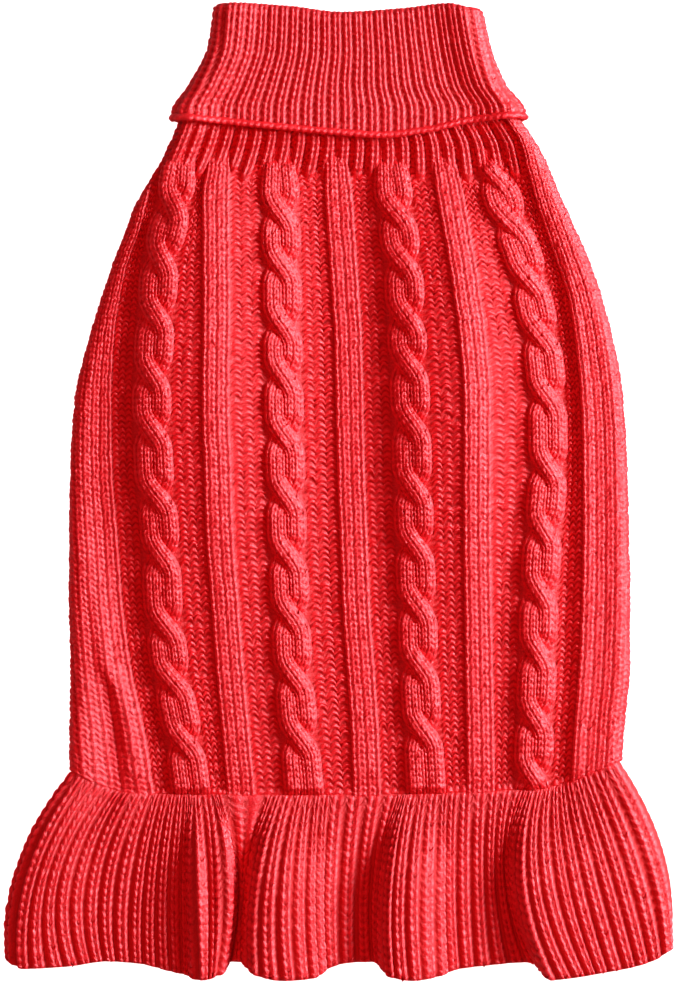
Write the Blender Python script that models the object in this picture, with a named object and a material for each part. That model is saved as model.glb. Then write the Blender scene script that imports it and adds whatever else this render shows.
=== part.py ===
"""A cable-knit dog sweater with a folded turtleneck and a ruffle hem, lying flat on its belly.

Lengths below are in millimetres and finish() turns them into metres. The neck points to +Y, the back
faces +Z and the lowest cloth lies on z = 0. The body is a flattened tube. A place in its wall is given by x,
y and a depth: 0 on the inner face, CLOTH on the outer face of plain cloth.
"""

import math

import bmesh
import bpy
import numpy as np

MM = 0.001
CLOTH = 2.4  # thickness of plain knitted cloth
SEAM_GAP = 0.3  # between two pieces that are sewn together or lie on each other
ROOM_INSIDE = 1.0  # between back and belly where the sweater lies flattest
FOLD_RADIUS = 4.5  # outer radius of the cloth where it turns round a side
FLAP = 5.0  # how far the back runs on under the body before its seam with the belly
FOLD_SLOPE = 14.0  # width over which the back drops from a side fold to the flat

GROUND = 2.0  # thickness of the purl ground between the ribs
BAND = 3.0  # thickness of the smooth bands beside the side folds
RIB = 3.7  # thickness of a three-stitch rib
RIB_HALF = 5.7
RIB_PLACES = (-0.78, 0.0, 0.78)  # lines up a rib, as shares of its half width
CABLE_HALF = 7.9
CABLE_PLACES = (-0.84, -0.5, -0.17, 0.17, 0.5, 0.84)  # lines up a cable, as shares of its half width
CABLE_RIB_PLACE = 0.3  # the lines farther out than this share run on as ribs of the neck
BAND_MIDDLE = 0.55  # place of the line inside a band, as a share of its width
GROUND_STEP = 1.0  # from a band to the line where the ground begins
EDGE_STEP = 0.3  # from a rib or cable to the line where the ground begins
CABLE_BED = 2.7  # thickness under the strands of a cable
STRAND = 3.0  # height of the strand that lies in front
STRAND_BEHIND = 0.8  # height of the other strand where the front one crosses it
STRAND_HALF = 0.56  # half width of a strand, as a share of the cable's half width
NECK_RIB = 3.3  # thickness of the narrow ribs just below the collar
NECK_RIB_Y = (121.0, 127.0)  # the narrow ribs fade in between these heights
UNDER_CUFF_Y = (134.0, 139.0)  # ribs and cables sink to the neck ribs' thickness between these
IN_CUFF_Y = (143.0, 148.0)  # the neck ribs sink to plain cloth between these

NECK_SEAM_Y = 150.0
LIFT = CLOTH + SEAM_GAP  # the neck lies on the cuff's underside
LIFT_Y = (124.0, 145.0)
NECK_PINCH = 0.60  # ribs and cables narrow to this share at the neck
PINCH_Y = (108.0, 140.0)

# The back from neck to hem: edge of the body, inner edge of the left band, centres of cables and ribs,
# inner edge of the right band, edge of the body.
SECTION_COLUMNS = (
    "y", "left", "band_l", "cable_1", "rib_1", "cable_2", "rib_2", "cable_3", "rib_3", "cable_4",
    "band_r", "right",
)
SECTIONS = (
    (150.2, -62.7, -57.7, -51.7, -42.7, -23.0, -1.5, 18.8, 38.5, 53.4, 65.0, 70.3),
    (148.2, -62.9, -57.9, -51.9, -42.9, -23.3, -1.5, 18.9, 38.8, 53.8, 65.2, 70.5),
    (143.4, -65.0, -60.0, -53.9, -44.8, -24.0, -1.5, 19.5, 40.1, 56.2, 69.6, 75.4),
    (138.2, -67.2, -62.2, -55.9, -46.4, -23.9, -1.2, 20.0, 41.0, 58.3, 72.9, 78.8),
    (130.2, -70.9, -66.0, -58.7, -48.0, -23.6, -0.7, 20.8, 42.5, 61.0, 75.0, 83.0),
    (116.2, -79.6, -74.7, -65.0, -48.9, -23.3, 0.3, 22.2, 45.0, 65.8, 78.6, 88.8),
    (103.0, -85.0, -79.7, -68.6, -48.8, -22.9, 1.1, 24.0, 47.4, 70.3, 83.1, 94.8),
    (89.4, -90.1, -84.6, -71.4, -48.7, -22.6, 2.1, 25.8, 49.8, 75.0, 87.6, 100.7),
    (76.2, -94.5, -87.4, -72.4, -48.6, -22.4, 2.9, 26.5, 51.6, 77.8, 91.8, 105.0),
    (63.0, -98.6, -89.4, -73.4, -48.7, -22.2, 3.8, 27.2, 53.5, 80.6, 93.9, 108.7),
    (36.2, -104.9, -90.6, -74.6, -49.0, -21.8, 4.4, 28.6, 55.4, 83.4, 96.6, 113.4),
    (9.4, -106.7, -90.2, -73.8, -48.2, -21.2, 5.0, 29.4, 55.4, 83.8, 97.4, 114.9),
    (-17.0, -107.2, -88.2, -71.4, -47.4, -20.6, 6.0, 30.2, 55.4, 81.8, 97.4, 115.6),
    (-43.8, -107.2, -86.2, -70.2, -45.4, -19.4, 7.0, 31.2, 55.8, 80.2, 97.0, 116.1),
    (-70.6, -106.6, -82.6, -67.4, -43.4, -18.2, 8.8, 32.2, 56.2, 79.4, 95.8, 116.0),
    (-97.0, -107.2, -77.0, -62.2, -41.0, -15.8, 10.6, 33.7, 56.7, 78.3, 93.8, 113.6),
    (-119.8, -106.6, -73.4, -59.0, -39.0, -13.8, 11.4, 35.0, 57.0, 77.4, 92.6, 112.2),
)

# Height y of each crossing, where the strand from the upper left lies in front.
CROSSINGS = {
    "cable_1": (114.2, 93.0, 70.2, 46.2, 24.2, -1.8, -25.8, -53.8, -75.8, -100.6),
    "cable_2": (111.4, 90.2, 66.2, 45.8, 22.2, -1.8, -25.8, -49.8, -73.8, -99.0),
    "cable_3": (111.4, 91.4, 69.4, 50.2, 27.0, 1.4, -21.8, -45.8, -69.8, -95.8),
    "cable_4": (126.2, 107.4, 84.2, 62.2, 37.4, 9.0, -15.8, -40.6, -64.6, -90.6, -113.8),
}

# Two soft lengthwise folds in the back: y, x of the crest, how far it spreads to the left and to the
# right, and its height.
BACK_FOLDS = (
    (
        (136.0, -46.0, 22.0, 22.0, 0.0),
        (120.0, -50.0, 26.0, 25.0, 5.6),
        (100.0, -54.0, 30.0, 28.0, 8.8),
        (40.0, -55.0, 34.0, 30.0, 10.0),
        (4.0, -54.0, 34.0, 29.0, 8.6),
        (-30.0, -51.0, 30.0, 26.0, 4.6),
        (-70.0, -47.0, 24.0, 22.0, 2.4),
        (-122.0, -42.0, 20.0, 20.0, 0.4),
    ),
    (
        (134.0, 41.0, 18.0, 16.0, 0.0),
        (112.0, 43.0, 20.0, 18.0, 3.6),
        (85.0, 46.5, 22.0, 20.0, 7.2),
        (30.0, 48.5, 24.0, 23.0, 8.8),
        (-5.0, 49.0, 24.0, 22.0, 6.2),
        (-40.0, 51.0, 18.0, 16.0, 3.2),
        (-122.0, 53.0, 14.0, 14.0, 0.6),
    ),
)

# The seam between body and ruffle: x, y.
HEM_LEVEL = -115.0  # where the body's width at the hem is read
HEM_SEAM = (
    (-107.0, -111.5), (-98.0, -116.5), (-80.0, -121.5), (0.0, -122.0), (80.0, -119.5), (113.0, -107.5),
)

LEG_HOLE_Y = 52.0
LEG_HOLE_APART = 104.0
LEG_HOLE_HALF = (23.0, 29.0)
LEG_HOLE_CENTRE_X = 4.5
LEG_HOLE_SIDES = 40
BELLY_COLUMNS = 8

# The collar's sides, as the edge of its neck layer: y, left, right.
COLLAR_SIDES = (
    (140.0, -63.5, 71.5),
    (151.5, -63.5, 71.5),
    (162.0, -56.9, 64.0),
    (177.0, -49.3, 57.9),
    (195.0, -46.6, 54.0),
)
COLLAR_TOP = (
    (-52.0, 191.3), (-42.0, 194.8), (-20.0, 193.6), (1.0, 191.2), (25.0, 192.6), (44.0, 194.6), (57.0, 190.8),
)
CUFF_RIM = (
    (-66.2, 148.4), (-37.4, 145.4), (4.6, 141.4), (16.6, 140.6), (36.6, 143.0), (52.2, 146.6), (74.2, 149.2),
)
FOLD_LEVEL = 193.0  # where the width at the top fold is read
RIM_LEVEL = 145.0  # where the width at the rim is read
CUFF_RIM_BELOW = 147.2
CUFF_FLARE = 1.6  # the rim stands off the ribs that it lies on
CUFF_FLARE_Y = (141.0, 156.0)
COLLAR_RIBS = 25
COLLAR_RIB_HIGH = 1.1
RIM_CORD = 0.8  # the bound-off edge is thicker by this
RIM_CORD_WIDE = 3.0
COLLAR_UNDER_COLUMNS = 10
RIM_CORD_ROWS = ((1.8, 1.0), (0.2, 0.6))  # rows of the cord: height over the rim, share of its thickness
RIM_STEP = 0.8  # the cuff's inner face starts this far above the rim
COLLAR_STEPS = (0.0, 0.14, 0.38, 0.7)  # places up the collar's wall where its section has points
COLLAR_TURN = (180.0, 135.0, 90.0, 45.0)  # angles of the points round the fold at the top
COLLAR_SIDE_TURN = (60, 30, 0, -30, -60, -90)  # angles of the rings round a side fold, from the top

# The ruffle's folds round the hem, left to right on top and back below. The x at the seam, halfway down
# and at the hem edge, the y of the hem edge, and the middle of the cloth's height halfway and at the edge.
RUFFLE_FOLDS = (
    ("left_side", -105.4, -126.8, -130.9, -187.6, 4.8, 4.8),
    ("lobe_a", -102.1, -121.8, -125.6, -191.0, 10.4, 10.2),
    ("lobe_b", -92.2, -110.6, -108.6, -190.2, 8.4, 8.0),
    ("lobe_c", -81.4, -93.4, -92.6, -188.2, 4.8, 4.6),
    ("lobe_d", -72.2, -79.4, -80.2, -189.0, 4.8, 4.6),
    ("lobe_e", -64.2, -67.4, -66.6, -192.2, 6.6, 6.6),
    ("flute_1_foot", -60.2, -60.2, -59.4, -193.8, 8.6, 8.4),
    ("flute_1_left", -57.4, -56.2, -54.8, -195.4, 15.4, 14.4),
    ("flute_1_dip", -54.0, -50.4, -51.6, -195.0, 12.4, 13.0),
    ("flute_1_right", -50.4, -45.4, -48.6, -193.6, 14.6, 12.6),
    ("flute_1_end", -47.4, -41.8, -45.4, -189.4, 5.6, 5.2),
    ("recess_1", -39.0, -38.6, -41.2, -188.0, 4.2, 3.8),
    ("flute_2_foot", -29.4, -36.2, -37.8, -188.6, 5.4, 5.2),
    ("flute_2_wall", -26.2, -33.8, -35.0, -191.0, 10.2, 10.2),
    ("flute_2_left", -22.6, -30.8, -31.6, -193.8, 15.2, 15.6),
    ("flute_2_crown", -17.0, -23.4, -22.2, -195.6, 15.8, 15.8),
    ("flute_2_slope", -9.0, -12.2, -10.6, -194.8, 11.6, 11.6),
    ("flute_2_end", -1.0, -4.2, -3.4, -190.6, 6.0, 5.6),
    ("recess_2", 8.6, 5.4, 5.4, -188.6, 4.0, 3.8),
    ("recess_2b", 18.0, 13.0, 13.4, -188.4, 4.0, 4.0),
    ("flute_3_foot", 23.0, 16.6, 17.0, -189.6, 5.4, 5.4),
    ("flute_3_wall", 25.2, 18.8, 19.4, -192.0, 10.2, 10.2),
    ("flute_3_left", 27.4, 21.4, 22.2, -194.4, 15.2, 15.6),
    ("flute_3_crown", 32.6, 28.0, 29.4, -195.6, 15.2, 15.2),
    ("flute_3_slope", 40.6, 38.2, 39.0, -194.2, 10.8, 10.8),
    ("flute_3_end", 47.0, 45.4, 47.0, -191.4, 6.0, 5.8),
    ("recess_3", 58.2, 57.4, 59.8, -189.8, 4.2, 4.0),
    ("recess_3b", 69.4, 66.4, 74.2, -188.6, 4.2, 4.2),
    ("flute_4_foot", 74.0, 69.2, 80.0, -189.0, 5.4, 5.4),
    ("flute_4_wall", 76.0, 71.8, 82.8, -192.0, 10.2, 10.2),
    ("flute_4_left", 78.4, 75.0, 86.6, -195.2, 15.0, 15.0),
    ("flute_4_crown", 82.6, 81.4, 94.2, -194.4, 14.4, 14.0),
    ("lobe_f", 89.4, 94.6, 105.4, -192.6, 12.0, 11.4),
    ("lobe_g", 96.6, 107.8, 118.2, -190.2, 9.8, 9.4),
    ("lobe_h", 103.8, 118.6, 127.4, -187.0, 8.0, 7.6),
    ("lobe_i", 107.6, 124.6, 131.0, -184.4, 7.0, 7.0),
    ("right_side", 111.0, 129.8, 132.6, -182.6, 4.8, 4.8),
    ("under_a", 107.6, 124.2, 130.0, -181.4, CLOTH / 2, CLOTH / 2),
    ("under_b", 80.6, 94.6, 100.6, -185.0, CLOTH / 2, CLOTH / 2),
    ("under_c", 40.6, 46.6, 48.6, -184.6, CLOTH / 2, CLOTH / 2),
    ("under_d", 0.6, 0.6, 0.6, -184.0, CLOTH / 2, CLOTH / 2),
    ("under_e", -39.4, -47.4, -50.6, -184.6, CLOTH / 2, CLOTH / 2),
    ("under_f", -75.4, -97.4, -103.4, -185.6, CLOTH / 2, CLOTH / 2),
    ("under_g", -102.1, -123.4, -126.0, -186.4, CLOTH / 2, CLOTH / 2),
)
FOLDS_ON_TOP = 37  # how many of those rows lie on top
RUFFLE_RIB_WIDE = 5.5
RUFFLE_RIB_HIGH = 1.4
RUFFLE_ROWS = 10
RUFFLE_RIB_Y = (0.0, 0.2)  # the ribs rise over this share of the way down
UNDER_COLUMN_WIDE = 14.0
NEAR_FOLDS = (2.5, 5.0, 7.5)  # extra lines underneath, at these distances from the side folds
NUDGE = 0.4  # the ruffle's slope is read over this distance each way
NUDGE_DOWN = 0.01  # and over this share of its height

# Heights of the section rows of body and belly, above the hem.
ROWS = (
    -102.0, -84.0, -64.0, -43.8, -22.0, 0.0, 22.0, 44.0, 63.0, 80.0, 96.0, 110.0,
    122.0, 131.0, 138.2, 143.4, 147.0, 150.0,
)
CABLE_ROW = 4.0  # height of a row along a cable
CABLE_ROWS_TO = 138.2
FOLD_STEPS = 4
WAY_ROUND = 1000.0  # the marks of the side folds and flaps lie this far beyond those of the top

YARN = (0.62, 0.022, 0.034)
YARN_ROUGHNESS = 0.85


def rise(low, high, value):
    """0 at low, 1 at high, with a soft start and end."""
    share = min(max((value - low) / (high - low), 0.0), 1.0)
    return share * share * (3.0 - 2.0 * share)


def smooth_curve(places, heights):
    """A function through the points that never swings past them."""
    places = np.asarray(places, float)
    heights = np.asarray(heights, float)
    steps = np.diff(places)
    slopes = np.diff(heights) / steps
    tangents = np.zeros(len(places))
    tangents[0] = slopes[0]
    tangents[-1] = slopes[-1]
    for i in range(1, len(places) - 1):
        if slopes[i - 1] * slopes[i] > 0:
            tangents[i] = 2.0 * slopes[i - 1] * slopes[i] / (slopes[i - 1] + slopes[i])

    def at(place):
        i = int(np.clip(np.searchsorted(places, place) - 1, 0, len(steps) - 1))
        t = min(max((place - places[i]) / steps[i], 0.0), 1.0)
        rest = 1.0 - t
        return (
            heights[i] * (1.0 + 2.0 * t) * rest * rest
            + tangents[i] * steps[i] * t * rest * rest
            + heights[i + 1] * t * t * (3.0 - 2.0 * t)
            - tangents[i + 1] * steps[i] * t * t * rest
        )

    return at


def curves_of(rows, names):
    """A smooth function of the table's first column for each of the others, by name."""
    table = np.array(sorted(rows))
    return {name: smooth_curve(table[:, 0], table[:, i + 1]) for i, name in enumerate(names)}


BODY = curves_of(SECTIONS, SECTION_COLUMNS[1:])
SWELLS = [curves_of(rows, ("crest", "left", "right", "high")) for rows in BACK_FOLDS]
NECK = curves_of(COLLAR_SIDES, ("left", "right"))
HEM_SEAM_Y = smooth_curve(*zip(*HEM_SEAM))
COLLAR_TOP_Y = smooth_curve(*zip(*COLLAR_TOP))
CUFF_RIM_Y = smooth_curve(*zip(*CUFF_RIM))


def lift_at(y):
    return LIFT * rise(*LIFT_Y, y)


def pinch_at(y):
    return 1.0 + (NECK_PINCH - 1.0) * rise(*PINCH_Y, y)


def room_at(x, y, sides):
    """Height of the inner face of the back over the belly cloth."""
    fold_room = 2.0 * (FOLD_RADIUS - CLOTH)
    inboard = min(x - sides["left"](y), sides["right"](y) - x) - FOLD_RADIUS
    room = ROOM_INSIDE + (fold_room - ROOM_INSIDE) * (1.0 - rise(0.0, FOLD_SLOPE, inboard))
    if sides is BODY:
        away = rise(0.0, FOLD_SLOPE, inboard)
        for swell in SWELLS:
            off = x - swell["crest"](y)
            spread = swell["left" if off < 0.0 else "right"](y)
            room += swell["high"](y) * away * math.exp(-((off / spread) ** 2))
    return room


def top_point(x, y, depth, sides):
    return (x, y, lift_at(y) + CLOTH + room_at(x, y, sides) + depth)


def fold_point(side, angle, y, depth, sides):
    """On a side fold. The angle is 90 on top, 0 at the edge and -90 underneath."""
    radius = FOLD_RADIUS - CLOTH + depth
    out = 1.0 if side == "right" else -1.0
    centre = sides[side](y) - out * FOLD_RADIUS
    turn = math.radians(angle)
    return (centre + out * radius * math.cos(turn), y, lift_at(y) + FOLD_RADIUS + radius * math.sin(turn))


def under_point(x, y, depth):
    return (x, y, lift_at(y) + CLOTH - depth)


class Wall:
    """The points and faces of one closed piece of cloth."""

    def __init__(self):
        self.points = []
        self.faces = []

    def line(self, points, marks):
        """Adds a line of points. The marks say how far along it each lies."""
        first = len(self.points)
        self.points.extend(points)
        return list(range(first, first + len(points))), list(marks)

    def strip(self, one, other):
        """Faces between two lines, which may have different numbers of points."""
        a, a_marks = one
        b, b_marks = other
        i = 0
        j = 0
        while i < len(a) - 1 or j < len(b) - 1:
            step_a = j == len(b) - 1 or (i < len(a) - 1 and a_marks[i + 1] <= b_marks[j + 1])
            if step_a:
                self.faces.append((a[i], a[i + 1], b[j]))
                i += 1
            else:
                self.faces.append((a[i], b[j + 1], b[j]))
                j += 1

    def strips(self, lines, closed=False):
        for one, other in zip(lines, lines[1:]):
            self.strip(one, other)
        if closed:
            self.strip(lines[-1], lines[0])

    def finish(self, name, material, collection):
        mesh = bpy.data.meshes.new(name)
        metres = [tuple(MM * value for value in point) for point in self.points]
        mesh.from_pydata(metres, [], self.faces)
        work = bmesh.new()
        work.from_mesh(mesh)
        bmesh.ops.recalc_face_normals(work, faces=work.faces)
        work.to_mesh(mesh)
        work.free()
        mesh.materials.append(material)
        mesh.shade_smooth()
        piece = bpy.data.objects.new(name, mesh)
        collection.objects.link(piece)
        return piece


def heights_from(hem, is_cable=False):
    """Heights of a line of points up the body, from its own place on the hem."""
    rows = [y for y in ROWS if y > hem + CABLE_ROW]
    if is_cable:
        steps = round((CABLE_ROWS_TO - hem) / CABLE_ROW)
        fine = [hem + (CABLE_ROWS_TO - hem) * i / steps for i in range(1, steps + 1)]
        rows = fine + [y for y in ROWS if y > CABLE_ROWS_TO]
    return [hem] + rows


def strands_at(cable, across, y):
    """Height of a cable's two strands at a place across it, from -1 to 1."""
    crossings = sorted(CROSSINGS[cable])
    middles = [(a + b) / 2 for a, b in zip(crossings, crossings[1:])]
    turn = int(np.searchsorted(middles, y))
    centre = crossings[turn]
    above = middles[turn] if turn < len(middles) else 2 * centre - middles[turn - 1]
    below = middles[turn - 1] if turn > 0 else 2 * centre - middles[turn]
    phase = (y - centre) / (above - centre) if y > centre else (y - centre) / (centre - below)
    phase = min(max(phase, -1.0), 1.0)
    sway = (1.0 - STRAND_HALF) * math.sin(phase * math.pi / 2)
    behind = STRAND_BEHIND + (STRAND - STRAND_BEHIND) * abs(phase)
    front = max(0.0, 1.0 - ((across + sway) / STRAND_HALF) ** 2)
    back = max(0.0, 1.0 - ((across - sway) / STRAND_HALF) ** 2)
    return max(STRAND * math.sqrt(front), behind * math.sqrt(back))


def neck_thickness(full, y, is_rib):
    """Blends a column's thickness into the narrow ribs of the neck."""
    neck = GROUND
    if is_rib:
        neck = NECK_RIB + (CLOTH - NECK_RIB) * rise(*IN_CUFF_Y, y)
    if full == BAND:
        neck = CLOTH
    share = rise(*(NECK_RIB_Y if full <= GROUND else UNDER_CUFF_Y), y)
    return full + (neck - full) * share


def back_columns():
    """Lines up the back: column of SECTIONS, shift from it, thickness or cable, is it a neck rib."""
    columns = []

    def add(edge, shift, thick, is_rib):
        columns.append((edge, shift, thick, is_rib))

    add("band_l", -BAND_MIDDLE, BAND, True)
    add("band_l", 0.0, BAND, False)
    add("band_l", GROUND_STEP, GROUND, False)
    names = ("cable_1", "rib_1", "cable_2", "rib_2", "cable_3", "rib_3", "cable_4")
    for name, following in zip(names, names[1:] + ("",)):
        half = CABLE_HALF if name in CROSSINGS else RIB_HALF
        add(name, -half - EDGE_STEP, GROUND, False)
        if name in CROSSINGS:
            for place in CABLE_PLACES:
                add(name, place * half, name, abs(place) > CABLE_RIB_PLACE)
        else:
            for place in RIB_PLACES:
                add(name, place * half, RIB, place != 0.0)
        add(name, half + EDGE_STEP, GROUND, False)
        if following:
            add((name, following), 0.0, GROUND, True)
    add("band_r", -GROUND_STEP, GROUND, False)
    add("band_r", 0.0, BAND, False)
    add("band_r", BAND_MIDDLE, BAND, True)
    return columns


def column_x(edge, shift, y):
    if isinstance(edge, tuple):
        left = BODY[edge[0]](y) + pinch_at(y) * (CABLE_HALF if edge[0] in CROSSINGS else RIB_HALF)
        right = BODY[edge[1]](y) - pinch_at(y) * (CABLE_HALF if edge[1] in CROSSINGS else RIB_HALF)
        return (left + right) / 2
    if edge in ("band_l", "band_r") and abs(shift) < GROUND_STEP:
        side = "left" if edge == "band_l" else "right"
        fold = BODY[side](y) + (FOLD_RADIUS if side == "left" else -FOLD_RADIUS)
        return BODY[edge](y) + abs(shift) * (fold - BODY[edge](y))
    return BODY[edge](y) + shift * pinch_at(y)


def back_panel_piece(material, collection):
    wall = Wall()
    hem_left = HEM_SEAM_Y(BODY["left"](HEM_LEVEL)) + SEAM_GAP / 2
    hem_right = HEM_SEAM_Y(BODY["right"](HEM_LEVEL)) + SEAM_GAP / 2

    def under_line(side, inboard, depth, mark):
        hem = hem_left if side == "left" else hem_right
        out = 1.0 if side == "left" else -1.0
        rows = heights_from(hem)
        points = [under_point(BODY[side](y) + out * inboard, y, depth) for y in rows]
        return wall.line(points, rows), mark

    def fold_lines(side, depth, mark, way):
        hem = hem_left if side == "left" else hem_right
        angles = [-90.0 + 180.0 * i / FOLD_STEPS for i in range(FOLD_STEPS + 1)]
        rows = heights_from(hem)
        lines = []
        for angle in angles:
            points = [fold_point(side, angle, y, depth, BODY) for y in rows]
            lines.append((wall.line(points, rows), mark + way * angle))
        return lines

    def top_line(place_at, depth_at, is_cable):
        hem = HEM_SEAM_Y(place_at(HEM_LEVEL)) + SEAM_GAP / 2
        rows = heights_from(hem, is_cable)
        points = []
        for y in rows:
            x = place_at(y)
            points.append(top_point(x, y, depth_at(x, y), BODY))
        return wall.line(points, rows), None

    outer = [under_line("left", FOLD_RADIUS + FLAP, CLOTH, -2.0 * WAY_ROUND)]
    outer += fold_lines("left", CLOTH, -WAY_ROUND, 1.0)
    for edge, shift, thick, is_rib in back_columns():

        def place_at(y, edge=edge, shift=shift):
            return column_x(edge, shift, y)

        def depth_at(x, y, shift=shift, thick=thick, is_rib=is_rib):
            full = thick
            if thick in CROSSINGS:
                full = CABLE_BED + strands_at(thick, shift / CABLE_HALF, y)
            return neck_thickness(full, y, is_rib)

        outer.append(top_line(place_at, depth_at, thick in CROSSINGS))
    outer += reversed(fold_lines("right", CLOTH, WAY_ROUND, -1.0))
    outer.append(under_line("right", FOLD_RADIUS + FLAP, CLOTH, 2.0 * WAY_ROUND))

    inner = [under_line("left", FOLD_RADIUS + FLAP, 0.0, -2.0 * WAY_ROUND)]
    inner += fold_lines("left", 0.0, -WAY_ROUND, 1.0)
    for edge, shift, thick, _ in back_columns():
        if thick in CROSSINGS and abs(shift) > CABLE_HALF / 4:
            continue

        def place_at(y, edge=edge, shift=shift):
            return column_x(edge, shift, y)

        inner.append(top_line(place_at, lambda x, y: 0.0, False))
    inner += reversed(fold_lines("right", 0.0, WAY_ROUND, -1.0))
    inner.append(under_line("right", FOLD_RADIUS + FLAP, 0.0, 2.0 * WAY_ROUND))

    wall.strips([line for line, _ in outer])
    wall.strips([line for line, _ in inner])
    for end in (0, -1):
        edges = []
        for face in (outer, inner):
            ends = [line[0][end] for line, _ in face]
            marks = [wall.points[i][0] if mark is None else mark for i, (_, mark) in zip(ends, face)]
            edges.append((ends, marks))
        wall.strip(*edges)
    for end in (0, -1):
        wall.strip(outer[end][0], inner[end][0])
    return wall.finish("back_panel", material, collection)


def leg_hole_cutter(name, centre_x, collection):
    bpy.ops.mesh.primitive_cylinder_add(vertices=LEG_HOLE_SIDES, radius=MM, depth=6.0 * CLOTH * MM)
    cutter = bpy.context.active_object
    cutter.name = name
    cutter.scale = (LEG_HOLE_HALF[0], LEG_HOLE_HALF[1], 1.0)
    cutter.location = (centre_x * MM, LEG_HOLE_Y * MM, 0.0)
    for holder in list(cutter.users_collection):
        holder.objects.unlink(cutter)
    collection.objects.link(cutter)
    cutter.hide_render = True
    cutter.display_type = "WIRE"
    return cutter


def belly_panel_piece(material, collection, cutters):
    """A plain sheet between the back's two flaps, with a hole for each front leg."""
    wall = Wall()
    inset = FOLD_RADIUS + FLAP + SEAM_GAP
    columns = BELLY_COLUMNS

    def edge_x(y, share):
        left = BODY["left"](y) + inset
        return left + (BODY["right"](y) - inset - left) * share

    faces = []
    for depth in (CLOTH, 0.0):
        lines = []
        for i in range(columns + 1):
            share = i / columns
            hem = HEM_SEAM_Y(edge_x(HEM_LEVEL, share)) + SEAM_GAP / 2
            rows = heights_from(hem)
            points = [under_point(edge_x(y, share), y, depth) for y in rows]
            lines.append(wall.line(points, rows))
        wall.strips(lines)
        faces.append(lines)
    below, above = faces
    for end in (0, -1):
        marks = list(range(columns + 1))
        wall.strip(([line[0][end] for line in below], marks), ([line[0][end] for line in above], marks))
        wall.strip(below[end], above[end])
    panel = wall.finish("belly_panel", material, collection)
    for side, name in ((-1.0, "leg_hole_left"), (1.0, "leg_hole_right")):
        cutter = leg_hole_cutter(name, LEG_HOLE_CENTRE_X + side * LEG_HOLE_APART / 2, cutters)
        hole = panel.modifiers.new(name, "BOOLEAN")
        hole.operation = "DIFFERENCE"
        hole.solver = "EXACT"
        hole.object = cutter
    return panel


def collar_profile(fold_y, rim_y):
    """The folded wall of the collar in section: (y, depth, whether it is the cuff's outer face)."""
    turn = CLOTH + SEAM_GAP / 2
    fold_centre = fold_y - turn
    cuff_inside = CLOTH + SEAM_GAP
    outside = cuff_inside + CLOTH
    seam = NECK_SEAM_Y + SEAM_GAP

    def height(share, start=seam):
        return start + (fold_centre - start) * share

    profile = [(height(share), 0.0, False) for share in COLLAR_STEPS]
    for angle in COLLAR_TURN:
        turned = math.radians(angle)
        profile.append((fold_centre + turn * math.sin(turned), turn + turn * math.cos(turned), False))
    for share in reversed(COLLAR_STEPS):
        profile.append((height(share, rim_y + RIM_CORD_WIDE), outside, True))
    for above, thick in RIM_CORD_ROWS:
        profile.append((rim_y + above, outside + RIM_CORD * thick, True))
    profile.append((rim_y, outside - CLOTH / 2, False))
    profile.append((rim_y + RIM_STEP, cuff_inside, False))
    profile += [(height(share), cuff_inside, False) for share in COLLAR_STEPS]
    profile.append((fold_centre, cuff_inside, False))
    profile.append((fold_centre + SEAM_GAP / 2, turn, False))
    profile.append((fold_centre, CLOTH, False))
    profile += [(height(share), CLOTH, False) for share in reversed(COLLAR_STEPS)]
    return profile


def collar_piece(material, collection):
    wall = Wall()
    rings = []

    def ring(fold_y, rim_y, place, rib=0.0, on_top=False, flared=False):
        points = []
        for y, depth, is_cuff in collar_profile(fold_y, rim_y):
            if is_cuff and on_top:
                depth += rib
            if is_cuff and not on_top:
                depth = min(depth, 2 * CLOTH + SEAM_GAP)
            if depth > CLOTH + SEAM_GAP / 2 and flared:
                depth += CUFF_FLARE * (1.0 - rise(*CUFF_FLARE_Y, y))
            points.append(place(y, depth))
        rings.append(wall.line(points, range(len(points))))

    top_columns = 2 * COLLAR_RIBS
    for i in range(top_columns + 1):
        share = i / top_columns

        def place(y, depth, share=share):
            left = NECK["left"](y) + FOLD_RADIUS
            x = left + (NECK["right"](y) - FOLD_RADIUS - left) * share
            return top_point(x, y, depth, NECK)

        fold_y = COLLAR_TOP_Y(place(FOLD_LEVEL, 0.0)[0])
        rim_y = CUFF_RIM_Y(place(RIM_LEVEL, 0.0)[0])
        ring(fold_y, rim_y, place, COLLAR_RIB_HIGH * (i % 2), 0 < i < top_columns, True)
    turns = (("right", COLLAR_SIDE_TURN), ("under", ()), ("left", tuple(reversed(COLLAR_SIDE_TURN))))
    for side, angles in turns:
        for angle in angles:

            def place(y, depth, side=side, angle=angle):
                return fold_point(side, angle, y, depth, NECK)

            fold_y = COLLAR_TOP_Y(NECK[side](FOLD_LEVEL))
            share = rise(COLLAR_SIDE_TURN[-1], COLLAR_SIDE_TURN[0], angle)
            rim_top = CUFF_RIM_Y(NECK[side](RIM_LEVEL))
            ring(fold_y, CUFF_RIM_BELOW + (rim_top - CUFF_RIM_BELOW) * share, place, 0.0, False, angle > 0)
        if side != "under":
            continue
        for i in range(1, COLLAR_UNDER_COLUMNS):
            share = 1.0 - i / COLLAR_UNDER_COLUMNS

            def place(y, depth, share=share):
                left = NECK["left"](y) + FOLD_RADIUS
                x = left + (NECK["right"](y) - FOLD_RADIUS - left) * share
                return under_point(x, y, depth)

            ring(COLLAR_TOP_Y(place(FOLD_LEVEL, 0.0)[0]), CUFF_RIM_BELOW, place)
    closed_rings = []
    for points, marks in rings:
        closed_rings.append((points + points[:1], marks + [len(points)]))
    wall.strips(closed_rings, closed=True)
    return wall.finish("collar", material, collection)


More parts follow.
